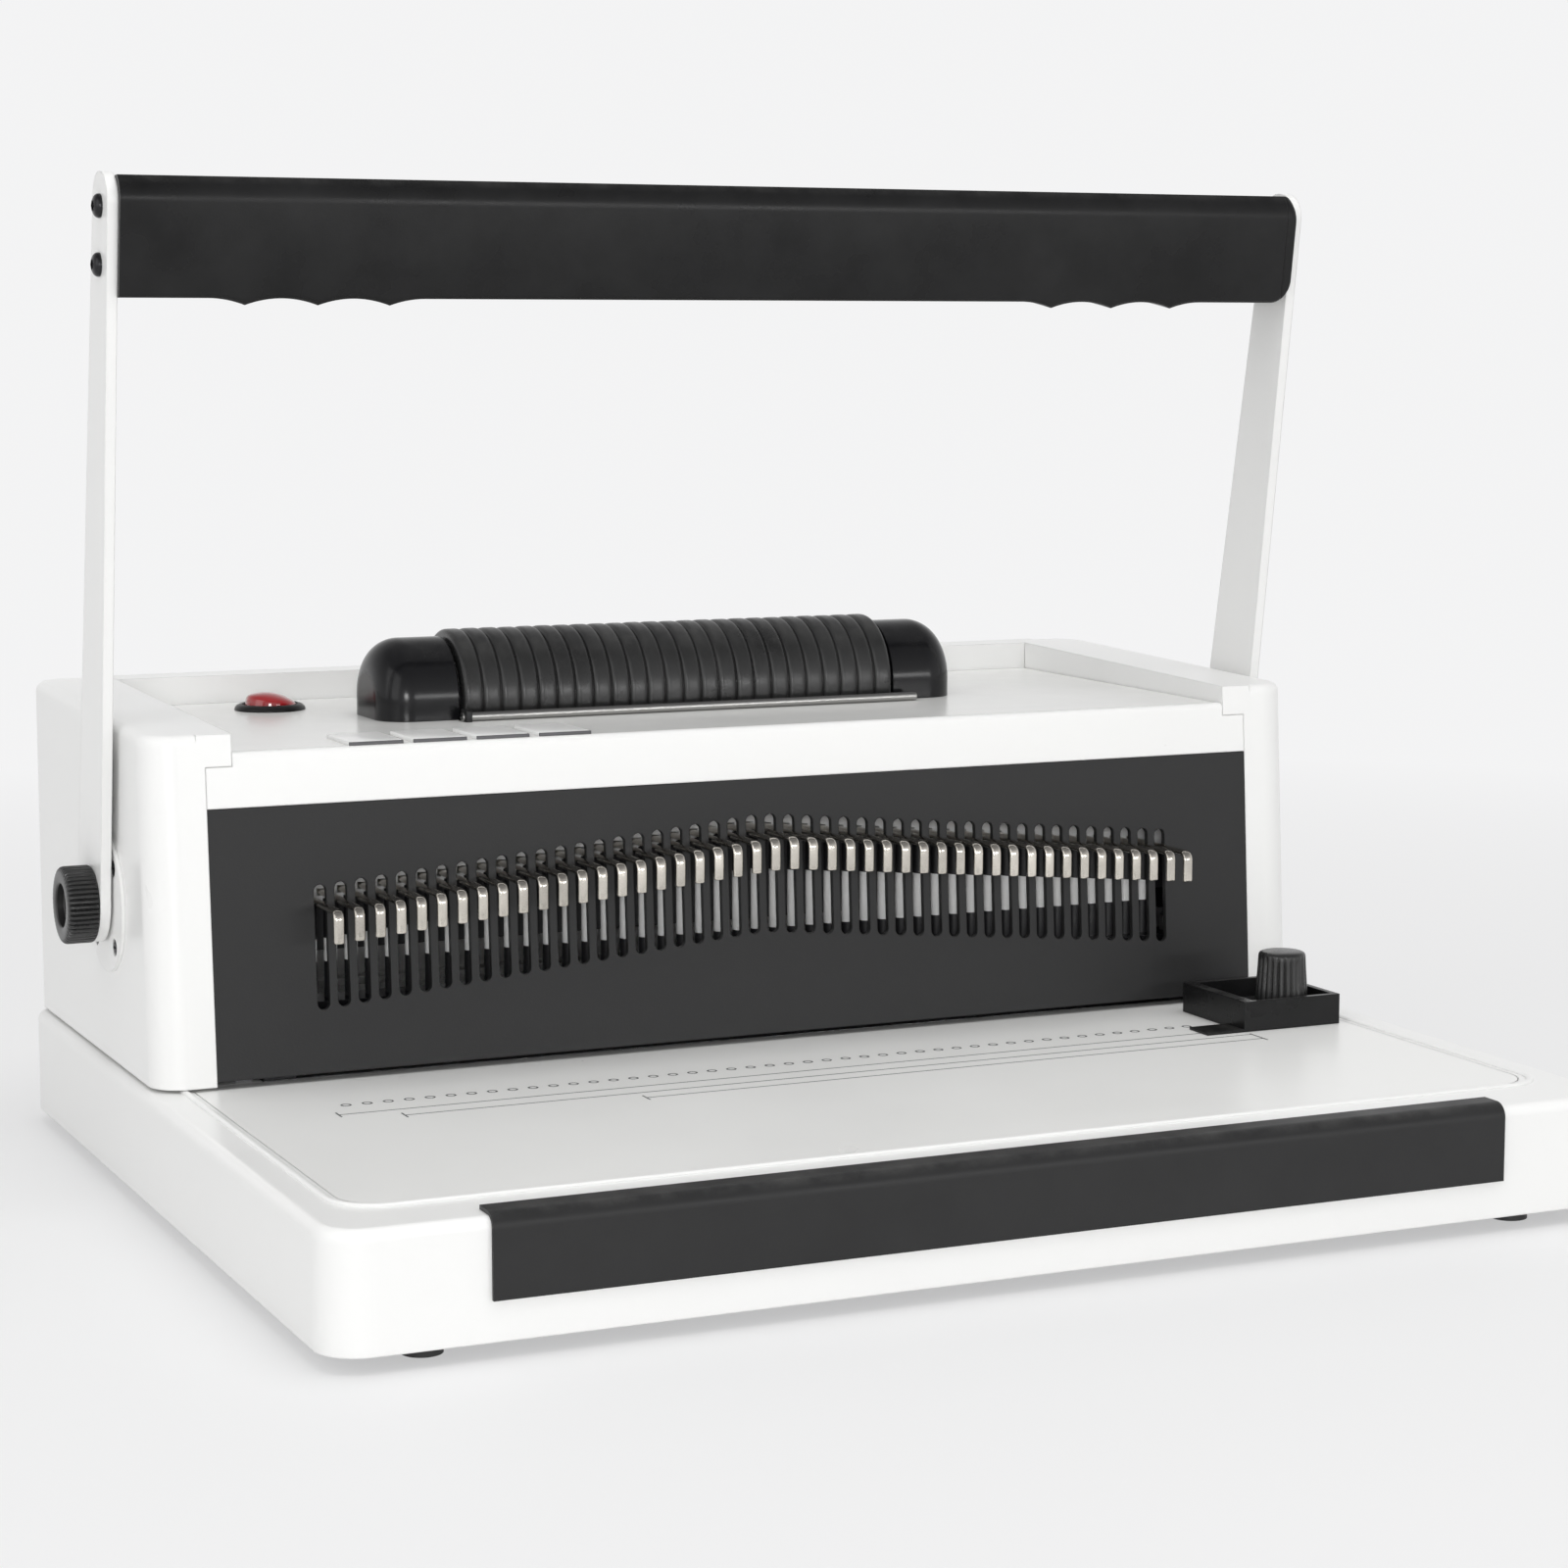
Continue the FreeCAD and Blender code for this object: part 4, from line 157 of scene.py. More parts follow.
def paint(name, description, default):
    """A linear colour that a user may change."""
    return FloatVectorProperty(name=name, description=description, default=default, size=3, min=0, max=1,
                               subtype="COLOR")


def power(name, description, default):
    """A lamp's power in watts."""
    return FloatProperty(name=name, description=description, default=default, min=0, unit="POWER")


def bearing(name, description, degrees):
    """An angle that a user may change."""
    return FloatProperty(name=name, description=description, default=math.radians(degrees), subtype="ANGLE")


class BinderFinishes(bpy.types.PropertyGroup):
    """Colours of the machine's finishes."""

    enamel: paint("Enamel", "White enamel of the covers, base and arms", SLOT_COLOURS["white_paint"])
    # Set paler than the top plate to make up for the shade the head casts on the table: painted light.
    table: paint("Table", "Pale enamel of the table plate", (0.89, 0.89, 0.875))
    top: paint("Top plate", "Pale grey enamel of the top plate", (0.82, 0.82, 0.805))
    charcoal: paint("Charcoal", "Satin paint of the slotted panel and the front trim", (0.023, 0.023, 0.0235))
    moulding: paint("Moulding", "Fine-grained black plastic", (0.009, 0.009, 0.0093))
    knob: paint("Knobs", "Shinier black plastic of the fluted knobs", (0.02, 0.02, 0.02))
    gloss: paint("Gloss", "Polished black of the roller's housings", (0.007, 0.007, 0.008))
    lens: paint("Lens", "Red of the switch", (0.36, 0.012, 0.016))
    rubber: paint("Rubber", "Black rubber of the roller, belt and feet", SLOT_COLOURS["rubber"])
    nickel: paint("Nickel", "Dulled plating of the guide bar", (0.38, 0.375, 0.365))
    pull: paint("Pull plating", "Warm, dull plating of the pin pulls", (0.62, 0.585, 0.53))
    # The pale colour of the pins' and press bar's bands: painted light where light falls through the slots.
    bar: paint("Bar plating", "Pale matt plating of the pins and press bar", (0.95, 0.95, 0.94))
    ground: paint("Ground steel", "Ground steel of the shafts, die and springs", SLOT_COLOURS["bright_steel"])
    zinc: paint("Zinc", "Zinc-plated steel", SLOT_COLOURS["zinc_steel"])
    aluminium: paint("Aluminium", "Satin aluminium", SLOT_COLOURS["aluminium"])
    brass: paint("Brass", "Turned brass of the bushes", SLOT_COLOURS["brass"])
    primer: paint("Primer", "Dark primer of the inner frames", SLOT_COLOURS["inner_steel"])
    oxide: paint("Black oxide", "Blackened steel of screws and inner works", (0.02, 0.02, 0.022))
    # Also the colour of the dark strips before the blank pads, which are painted shadow.
    ink: paint("Ink", "Dark ink of the marks on the table", (0.09, 0.09, 0.095))
    # These heights bound the pins' and press bar's pale bands, which are painted light and shade rather than
    # plating.
    band_low: length("Band low", "Height above which the punch pins are plated", 0.0705)
    band_drop: length("Band drop", "How far below the ends of the pulls the pins' plating stops", 0.0035)
    bar_drop: length("Bar drop", "How far below the tops of the pulls the press bar's plating starts", 0.004)
    wear: share("Wear", "How far the edges are rubbed", 0.5)
    dust: share("Dust", "How much dust lies on surfaces that face up", 0.08)


class BinderShapes(bpy.types.PropertyGroup):
    """Sizes of the pieces that are shaped here."""

    rib_count: number("Ribs", "Ribs along the roller's sleeve", 24)
    rib_depth: length("Rib depth", "Depth of the grooves between the sleeve's ribs", 0.0012)
    rib_waver: length("Rib waver", "How far a rib's edge wanders along the roller", 0.0003)
    bore_share: share("Sleeve bore", "The sleeve's bore as a share of its outer size", 0.744)
    grip_top: length("Grip top", "Distance from the pivot to the grip's top", 0.2188)
    grip_height: length("Grip height", "Height of the grip between its finger ridges and its top", 0.0347)
    grip_front: length("Grip front", "How far the grip's flat front stands before the arms' centre line", 0.0117)
    grip_rear: length("Grip rear", "How far the grip's back stands behind the arms' centre line", 0.0103)
    grip_roll: length("Grip roll", "Radius of the curved band along the grip's front top", 0.008)
    grip_fall: length("Grip fall", "How far the grip's top falls towards its back", 0.0026)
    grip_corner: length("Grip corner", "Radius of the lower corner at the grip's right end", 0.0065)
    grip_shoulder: length("Grip shoulder", "Radius of the upper corner at the grip's right end", 0.003)
    grip_seam: length("Grip seam", "Distance from the grip's right end to the seam of its end cap", 0.003)
    finger_depth: length("Finger ridges", "How far the finger ridges hang under the grip", 0.002)
    finger_spacing: length("Finger spacing", "Distance from one finger ridge to the next", 0.022)
    finger_left: length("First left ridge", "Distance from the middle to the first ridge on the left", 0.1147)
    finger_right: length("First right ridge", "Distance from the middle to the first ridge on the right", 0.1075)
    pull_count: number("Pin pulls", "Pulls in the row", 46)
    pull_width: length("Pull width", "Width of a pin pull's strip", 0.0032)
    pull_thick: length("Pull thickness", "Thickness of a pin pull's strip", 0.0018)
    pull_drop: length("Pull drop", "Height of a pin pull's hook", 0.01)
    pull_bend: length("Pull bend", "Outer radius of a pin pull's bend", 0.003)
    pivot_flutes: number("Pivot knob flutes", "Flutes round a pivot knob", 46)
    guide_flutes: number("Guide knob flutes", "Flutes round the edge guide's knob", 22)
    flute_depth: length("Flute depth", "Depth of the knobs' flutes", 0.0007)
    bead_width: length("Bead width", "Width of the raised bead round the table", 0.0024)
    bead_height: length("Bead height", "Height of the raised bead round the table", 0.0008)
    bead_offset: length("Bead offset", "Distance from the table plate's edge to the bead's middle", 0.0028)
    bead_stop: length("Bead stop", "Distance from the table plate's back to the bead's ends", 0.004)
    bead_corner: length("Bead corner", "Radius of the bead's front corners", 0.013)
    mark_pitch: length("Mark pitch", "Distance between the ring marks on the table", 0.00635)
    pad_width: length("Pad width", "Width of a blank pad on the top plate", 0.0167)
    pad_pitch: length("Pad pitch", "Distance from one blank pad to the next", 0.02)


class BinderStage(bpy.types.PropertyGroup):
    """The camera, lamps and floor."""

    lens: FloatProperty(name="Lens", description="Focal length on a 36 mm sensor", default=80.64, min=1,
                        unit="CAMERA")
    eye: FloatVectorProperty(name="Eye", description="Where the camera stands", subtype="TRANSLATION", size=3,
                             default=(-0.4419, -0.9761, 0.2561))
    yaw: bearing("Yaw", "How far the camera looks to the right of straight ahead", 24.44)
    pitch: bearing("Pitch", "How far the camera looks down", 7.279)
    floor: paint("Floor", "Pale floor", (0.86, 0.86, 0.86))
    backdrop: paint("Backdrop", "What lies beyond the floor", (0.9, 0.9, 0.905))
    ceiling: paint("Ceiling", "Darker ceiling that shiny surfaces mirror", (0.28, 0.28, 0.285))
    fade: length("Fade", "Distance from the machine at which the floor passes into the backdrop", 1.1)
    sky: FloatProperty(name="Sky", description="Strength of the even light from all round", default=0.43, min=0)
    key: power("Key", "Power of the lamp behind the camera", 4.2)
    fill: power("Fill", "Power of the large lamp at the left", 5.5)
    top: power("Top", "Power of the lamp overhead", 14)
    strip: power("Strip", "Power of the low strip at the right that lines the edges", 2.6)


def extents(node):
    """Lowest and highest corner of a node of the frame, in metres."""
    low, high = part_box(node)
    return np.array(low), np.array(high)


def ring_quads(rows, columns, closed):
    """Corner numbers of the quads between neighbouring rings; the last ring meets the first if closed."""
    row = np.arange(rows if closed else rows - 1)[:, None]
    column = np.arange(columns)[None, :]
    after = (row + 1) % rows
    beside = (column + 1) % columns
    corners = np.broadcast_arrays(row * columns + column, row * columns + beside,
                                  after * columns + beside, after * columns + column)
    return np.stack(corners, -1).reshape(-1, 4)


def skin(rings, closed=False):
    """A shell over rings of points, given as rings by points by three, with a flat cap on each open end."""
    rows, columns = rings.shape[:2]
    faces = [ring_quads(rows, columns, closed)]
    if not closed:
        rim = np.arange(columns)[None, :]
        faces += [rim[:, ::-1], rim + (rows - 1) * columns]
    return rings.reshape(-1, 3), faces


def copies(shell, offsets):
    """The same shell at each offset."""
    points, faces = shell
    offsets = np.asarray(offsets)
    starts = np.arange(len(offsets)) * len(points)
    spread = (points[None] + offsets[:, None]).reshape(-1, 3)
    return spread, [(block[None] + starts[:, None, None]).reshape(-1, block.shape[1]) for block in faces]


def joined(*shells):
    """Several shells as one, their corner numbers shifted past those of the shells before."""
    starts = np.cumsum([0] + [len(points) for points, faces in shells])
    faces = [block + start for (points, blocks), start in zip(shells, starts) for block in blocks]
    return np.concatenate([points for points, faces in shells]), faces


def upright(points):
    """Points as they are, for a shape turned about Z."""
    return points


def sideways(points):
    """Points of a shape turned about Z laid over, so that its axis runs along X."""
    return points[..., [2, 0, 1]]


def backwards(points):
    """Points of a shape turned about Z laid over, so that its axis runs along Y."""
    return points[..., [1, 2, 0]]


def turned(radii, heights, columns, lay, closed=False):
    """A turned shape: at each height a ring of points at radius r and angle a, (r cos a, r sin a, height).

    Radii are one number for each ring, or one for each ring and column. The axis is laid by the given function.
    """
    angle = np.linspace(0, 2 * np.pi, columns, endpoint=False)
    radii = np.broadcast_to(np.asarray(radii, float).reshape(len(heights), -1), (len(heights), columns))
    heights = np.broadcast_to(np.asarray(heights, float)[:, None], radii.shape)
    return skin(lay(np.stack([radii * np.cos(angle), radii * np.sin(angle), heights], -1)), closed)


def rounded_outline(low, high, radius, steps=6):
    """A rectangle with quarter-circle corners, anticlockwise: corner centre plus radius times (cos a, sin a)."""
    low, high = np.asarray(low, float), np.asarray(high, float)
    corner = np.repeat([[1, 1], [-1, 1], [-1, -1], [1, -1]], steps, axis=0)
    angle = (np.arange(4)[:, None] * np.pi / 2 + np.linspace(0, np.pi / 2, steps)).reshape(-1)
    arc = radius * np.stack([np.cos(angle), np.sin(angle)], -1)
    return (low + high) / 2 + corner * ((high - low) / 2 - radius) + arc


def at_level(outline, level):
    """A flat outline as points at one height."""
    return np.column_stack([outline, np.full(len(outline), level)])


def soft_slab(low, high, radius, edge):
    """A slab from corner to corner with rounded corners in plan and a quarter-round upper rim."""
    angle = np.linspace(0, np.pi / 2, 4)
    insets = np.concatenate([[0], edge * (1 - np.cos(angle))])
    levels = np.concatenate([[low[2]], high[2] - edge * (1 - np.sin(angle))])
    return skin(np.array([at_level(rounded_outline(low[:2] + i, high[:2] - i, max(radius - i, edge / 4)), level)
                          for i, level in zip(insets, levels)]))


def swept(path, normals, section):
    """A section carried along a flat path: path point plus across times the normal plus height times Z."""
    across = section[None, :, :1] * normals[:, None, :]
    rings = np.concatenate([path[:, None, :] + across,
                            np.broadcast_to(section[None, :, 1:], across.shape[:2] + (1,))], -1)
    return skin(rings)


def finish_name(name):
    """The name of a finish made here, apart from the plain material that the model brings for its slot."""
    return f"binder_{name}"


def make_piece(name, shell, body, finish, nodes=(), crease=32):
    """A mesh object from closed shells, faces outwards, that rides on a body and stands for the given nodes."""
    points, faces = shell
    mesh = bpy.data.meshes.new(name)
    mesh.from_pydata(points, [], [corners for block in faces for corners in block.tolist()])
    work = bmesh.new()
    work.from_mesh(mesh)
    bmesh.ops.recalc_face_normals(work, faces=work.faces)
    work.to_mesh(mesh)
    work.free()
    mesh.shade_smooth()
    mesh.set_sharp_from_angle(angle=math.radians(crease))
    mesh.materials.append(bpy.data.materials[finish_name(finish)])
    piece = bpy.data.objects.new(name, mesh)
    bpy.context.scene.collection.objects.link(piece)
    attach(piece, body)
    if nodes:
        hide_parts(*nodes)
    return piece


class Nodes:
    """Adds and links the nodes of one tree."""

    def __init__(self, tree):
        self.tree = tree

    def add(self, kind, inputs=None, **settings):
        """A node of a kind with its settings; inputs are values, or sockets to link from."""
        made = self.tree.nodes.new(kind)
        for key, setting in settings.items():
            setattr(made, key, setting)
        for key, given in (inputs or {}).items():
            if isinstance(given, bpy.types.NodeSocket):
                self.tree.links.new(given, made.inputs[key])
            else:
                made.inputs[key].default_value = given
        return made

    def math(self, operation, first, second=0.0):
        """The result of a sum on one or two values."""
        return self.add("ShaderNodeMath", {0: first, 1: second}, operation=operation).outputs[0]

    def span(self, given, low, high, to_low, to_high):
        """A value moved from one span to another and held inside it."""
        return self.add("ShaderNodeMapRange", {"Value": given, "From Min": low, "From Max": high,
                                               "To Min": to_low, "To Max": to_high}).outputs[0]

    def place(self):
        """Where a point lies on its object."""
        return self.add("ShaderNodeTexCoord").outputs["Object"]

    def noise(self, place, scale, detail, roughness=0.5):
        """A cloudy value between none and one."""
        return self.add("ShaderNodeTexNoise", {"Vector": place, "Scale": scale, "Detail": detail,
                                               "Roughness": roughness}).outputs["Fac"]

    def mix(self, factor, first, second):
        """A colour between two colours."""
        return self.add("ShaderNodeMix", {0: factor, 6: first, 7: second}, data_type="RGBA").outputs[2]


def new_group(name, inputs, outputs):
    """An empty shader group with value inputs and the named outputs."""
    tree = bpy.data.node_groups.new(name, "ShaderNodeTree")
    for label, default in inputs.items():
        kind = "NodeSocketVector" if isinstance(default, tuple) else "NodeSocketFloat"
        tree.interface.new_socket(label, in_out="INPUT", socket_type=kind).default_value = default
    for label, kind in outputs.items():
        tree.interface.new_socket(label, in_out="OUTPUT", socket_type=kind)
    nodes = Nodes(tree)
    return tree, nodes, nodes.add("NodeGroupInput").outputs, nodes.add("NodeGroupOutput").inputs


def make_grain_group():
    """Grain of a moulded or painted surface: a fine height, and a slow mottle from none to full."""
    tree, nodes, given, out = new_group("Surface grain", {"Scale": 2000.0, "Stretch": (1.0, 1.0, 1.0)},
                                        {"Height": "NodeSocketFloat", "Mottle": "NodeSocketFloat"})
    drawn = nodes.add("ShaderNodeVectorMath", {0: nodes.place(), 1: given["Stretch"]},
                      operation="MULTIPLY").outputs[0]
    slow = nodes.noise(drawn, nodes.math("MULTIPLY", given["Scale"], 0.02), 4.0, 0.6)
    tree.links.new(nodes.noise(drawn, given["Scale"], 3.0), out["Height"])
    tree.links.new(nodes.span(slow, 0.3, 0.7, 0.0, 1.0), out["Mottle"])


def make_edge_group():
    """Rubbed, softened edges: a normal rounded over a radius, and a mask where it leaves the flat normal."""
    tree, nodes, given, out = new_group("Rubbed edges", {"Radius": 0.0006, "Amount": 0.5},
                                        {"Mask": "NodeSocketFloat", "Normal": "NodeSocketVector"})
    soft = nodes.add("ShaderNodeBevel", {"Radius": given["Radius"]}, samples=4).outputs[0]
    flat = nodes.add("ShaderNodeNewGeometry").outputs["Normal"]
    agree = nodes.add("ShaderNodeVectorMath", {0: soft, 1: flat}, operation="DOT_PRODUCT").outputs["Value"]
    broken = nodes.noise(nodes.place(), 160.0, 4.0)
    edge = nodes.span(agree, 0.99, 0.8, 0.0, 1.0)
    patchy = nodes.math("MULTIPLY", edge, nodes.span(broken, 0.35, 0.65, 0.2, 1.0))
    tree.links.new(nodes.math("MULTIPLY", patchy, given["Amount"]), out["Mask"])
    tree.links.new(soft, out["Normal"])


def make_dust_group():
    """Dust on what faces up: the normal's upward share, broken by a patchy noise."""
    tree, nodes, given, out = new_group("Settled dust", {"Amount": 0.3}, {"Mask": "NodeSocketFloat"})
    normal = nodes.add("ShaderNodeNewGeometry").outputs["Normal"]
    up = nodes.add("ShaderNodeSeparateXYZ", {0: normal}).outputs["Z"]
    patch = nodes.noise(nodes.place(), 90.0, 6.0, 0.7)
    lies = nodes.math("MULTIPLY", nodes.span(up, 0.5, 0.95, 0.0, 1.0), nodes.span(patch, 0.4, 0.75, 0.0, 1.0))
    tree.links.new(nodes.math("MULTIPLY", lies, given["Amount"]), out["Mask"])


def toned(colour, tone):
    """A colour made lighter or darker, as red, green, blue and one."""
    return tuple(min(1.0, part * tone) for part in colour) + (1.0,)


def make_finish(name, colour, rough, grain, relief, tones, worn=1.0, wear=0.0, dust=0.0, edge=0.0005,
                spread=0.06, stretch=(1.0, 1.0, 1.0), band=None, **plain):
    """A finish whose colour drifts between two tones, worn on its edges and dusty on top, with grain as relief.

    A banded finish keeps that colour only above a floor and below a roof that falls to both sides of the
    middle; band gives the floor, the roof's peak, its slope and the other colour. Plain settings go straight
    to the shader's own sockets, by socket name with underscores for spaces.
    """
    finish = bpy.data.materials.new(finish_name(name))
    finish.use_nodes = True
    nodes = Nodes(finish.node_tree)
    shader = finish.node_tree.nodes["Principled BSDF"]
    for key, setting in plain.items():
        shader.inputs[key.replace("_", " ")].default_value = setting
    groups = bpy.data.node_groups
    surface = nodes.add("ShaderNodeGroup", {"Scale": grain, "Stretch": stretch},
                        node_tree=groups["Surface grain"])
    edges = nodes.add("ShaderNodeGroup", {"Radius": edge, "Amount": wear}, node_tree=groups["Rubbed edges"])
    settled = nodes.add("ShaderNodeGroup", {"Amount": dust}, node_tree=groups["Settled dust"])
    drift = nodes.mix(surface.outputs["Mottle"], toned(colour, tones[0]), toned(colour, tones[1]))
    rubbed = nodes.mix(edges.outputs["Mask"], drift, toned(colour, worn))
    dusty = nodes.mix(settled.outputs["Mask"], rubbed, DUST_COLOUR)
    # The band paints light and shade: the finish's own colour inside it, the other colour around it, keyed to the
    # hooks' heights.
    if band:
        floor, peak, slope, other = band
        axes = nodes.add("ShaderNodeSeparateXYZ", {0: nodes.place()}).outputs
        fall = nodes.math("MULTIPLY", nodes.math("ABSOLUTE", axes["X"]), slope)
        above = nodes.math("GREATER_THAN", axes["Z"], floor)
        below = nodes.math("LESS_THAN", nodes.math("ADD", axes["Z"], fall), peak)
        dusty = nodes.mix(nodes.math("MULTIPLY", above, below), toned(other, 1.0), dusty)
    roughness = nodes.span(surface.outputs["Mottle"], 0.0, 1.0, rough - spread, rough + spread)
    dulled = nodes.math("ADD", roughness, nodes.math("MULTIPLY", settled.outputs["Mask"], 0.5))
    bump = nodes.add("ShaderNodeBump", {"Strength": relief, "Distance": 0.0005,
                                        "Height": surface.outputs["Height"], "Normal": edges.outputs["Normal"]})
    for source, socket in ((dusty, "Base Color"), (dulled, "Roughness"), (bump.outputs[0], "Normal")):
        finish.node_tree.links.new(source, shader.inputs[socket])
    return finish


class BINDER_OT_finishes(bpy.types.Operator):
    """Mix the finishes and put them on the pieces that keep their built shape"""

    bl_idname = "binder.finishes"
    bl_label = "Finishes"

    def execute(self, context):
        colours = context.scene.binder_finishes
        make_grain_group()
        make_edge_group()
        make_dust_group()
        low, high = extents("pin_pulls")
        hook_end = high[2] - context.scene.binder_shapes.pull_drop
        slope = (hook_end - low[2]) / high[0]
        # Pale and dark bands on the press bar and pins, following the hooks' heights: painted light and shade.
        bands = {"bar_plating": (0.0, high[2] - colours.bar_drop, slope, colours.bar),
                 "pin_plating": (colours.band_low, hook_end - colours.band_drop, slope, colours.oxide)}
        for name, (colour, rough, grain, relief, tones, worn, rubbed, dusty, rest) in FINISHES.items():
            make_finish(name, getattr(colours, colour), rough, grain, relief, tones, worn,
                        colours.wear * rubbed, colours.dust * dusty, band=bands.get(name), **rest)
        for name, node in frame["nodes"].items():
            node.data.materials.clear()
            finish = OWN_FINISHES.get(name, NODE_SLOTS[name])
            node.data.materials.append(bpy.data.materials[finish_name(finish)])
        return {"FINISHED"}


class BINDER_OT_roller_sleeve(bpy.types.Operator):
    """Shape the ribbed rubber sleeve, whose radius falls with the fifth power of the way from a rib's middle"""

    bl_idname = "binder.roller_sleeve"
    bl_label = "Roller sleeve"

    def execute(self, context):
        shapes = context.scene.binder_shapes
        low, high = extents("roller_sleeve")
        middle = (low + high) / 2
        outer = (high[2] - low[2]) / 2
        inner = outer * shapes.bore_share
        rings, columns = 24, 96
        span = np.linspace(low[0], high[0], shapes.rib_count * rings + 1)
        along = (span - low[0]) / (high[0] - low[0])
        angle = np.linspace(0, 2 * np.pi, columns, endpoint=False)
        rib = along[:, None] * shapes.rib_count + 0 * angle
        which = np.floor(rib)
        # Two waves round the roller, shifted from rib to rib, keep the ribs from being alike.
        drift = 0.18 * np.sin(angle + 2.1 * which) + 0.1 * np.sin(3 * angle + 1.3 * which)
        across = np.clip(2 * np.abs(rib - which - 0.5), 0, 1)
        crown = outer - shapes.rib_depth * across ** 5 - 0.05 * shapes.rib_depth * (1 + drift * 3)
        lean = shapes.rib_waver * drift * np.clip(np.minimum(along, 1 - along) * 40, 0, 1)[:, None]
        x = span[:, None] + lean
        outside = np.stack([x, middle[1] + crown * np.cos(angle), middle[2] + crown * np.sin(angle)], -1)
        ends = np.array([high[0], low[0]])[:, None] + 0 * angle
        inside = np.stack([ends, middle[1] + inner * np.cos(angle) + 0 * ends,
                           middle[2] + inner * np.sin(angle) + 0 * ends], -1)
        make_piece("ribbed_sleeve", skin(np.concatenate([outside, inside]), closed=True), "roller",
                   "sleeve_rubber", ["roller_sleeve"], crease=70)
        return {"FINISHED"}


def leaned(across, along):
    """Place, as y and z, of a point on the handle: across its arms and along them from the pivot, leaned."""
    low, high = extents("main_shaft")
    pivot = ((low + high) / 2)[1:]
    return np.stack([pivot[0] + across * np.cos(HANDLE_LEAN) - along * np.sin(HANDLE_LEAN),
                     pivot[1] + across * np.sin(HANDLE_LEAN) + along * np.cos(HANDLE_LEAN)], -1)


def rounding(distance, radius):
    """How far a quarter-round corner falls back at a distance from its end: r less the root of r2 - (r - d)2."""
    short = np.clip(radius - distance, 0, radius)
    return radius - np.sqrt(radius ** 2 - short ** 2)


class BINDER_OT_grip(bpy.types.Operator):
    """Shape the grip with its flat front, curved band, finger ridges and rounded right end"""

    bl_idname = "binder.grip"
    bl_label = "Grip"

    def execute(self, context):
        shapes = context.scene.binder_shapes
        low, high = extents("grip")
        front, rear = -shapes.grip_front, shapes.grip_rear
        top = shapes.grip_top
        base = top - shapes.grip_height
        nose, heel, back = 0.0015, 0.003, 0.005
        skirt, end, roll_angle, pinched = 0.0055, 0.007, math.radians(61), 0.02
        turn = np.linspace(0, np.pi / 2, 7)
        roll = np.linspace(0, roll_angle, 8)
        lower_front = np.stack([front + nose * (1 - np.sin(turn)), base + nose * (1 - np.cos(turn))], -1)
        band = np.stack([front + shapes.grip_roll * (1 - np.cos(roll)),
                         top + shapes.grip_roll * (np.sin(roll) - np.sin(roll[-1]))], -1)
        upper_rear = np.stack([rear - back * (1 - np.sin(turn)),
                               top - shapes.grip_fall - back * (1 - np.cos(turn))], -1)
        lower_rear = np.stack([rear - heel * (1 - np.cos(turn)), base + heel * (1 - np.sin(turn))], -1)
        under = np.stack([np.linspace(rear - heel, front + nose, 6)[1:-1], np.full(4, base)], -1)
        section = np.concatenate([lower_front, band, upper_rear, lower_rear, under])

        ridges = shapes.finger_spacing * np.arange(3)
        tips = np.concatenate([-shapes.finger_left - ridges, shapes.finger_right + ridges])
        reach = shapes.finger_spacing / 2
        seam = high[0] - shapes.grip_seam + np.array([-0.0004, -0.00015, 0.00015, 0.0004])
        corner = high[0] - shapes.grip_corner * (1 - np.sin(np.linspace(0, np.pi / 2, 14)))
        x = np.unique(np.concatenate([np.linspace(low[0], high[0] - end, 41), seam, corner,
                                      (tips[:, None] + np.linspace(-reach, reach, 21)).reshape(-1)]))
        near = np.clip(1 - np.abs(x[:, None] - tips) / reach, 0, 1) ** 2
        hang = shapes.finger_depth * near.max(axis=1)
        weight = np.clip((base + skirt - section[:, 1]) / skirt, 0, 1) ** 2
        lift = rounding(high[0] - x, shapes.grip_corner)[:, None]
        sink = rounding(high[0] - x, shapes.grip_shoulder)[:, None]
        along = base + lift + (section[:, 1] - base) * (1 - (lift + sink) / shapes.grip_height)
        along = along - hang[:, None] * weight
        pinch = pinched * (np.abs(x - seam.mean()) < 0.0002)[:, None]
        across = section[:, 0] * (1 - pinch)
        rings = np.concatenate([np.broadcast_to(x[:, None, None], along.shape + (1,)),
                                leaned(across, along)], -1)
        make_piece("grip_bar", skin(rings), "handle", "black_plastic", ["grip"], crease=24)
        return {"FINISHED"}


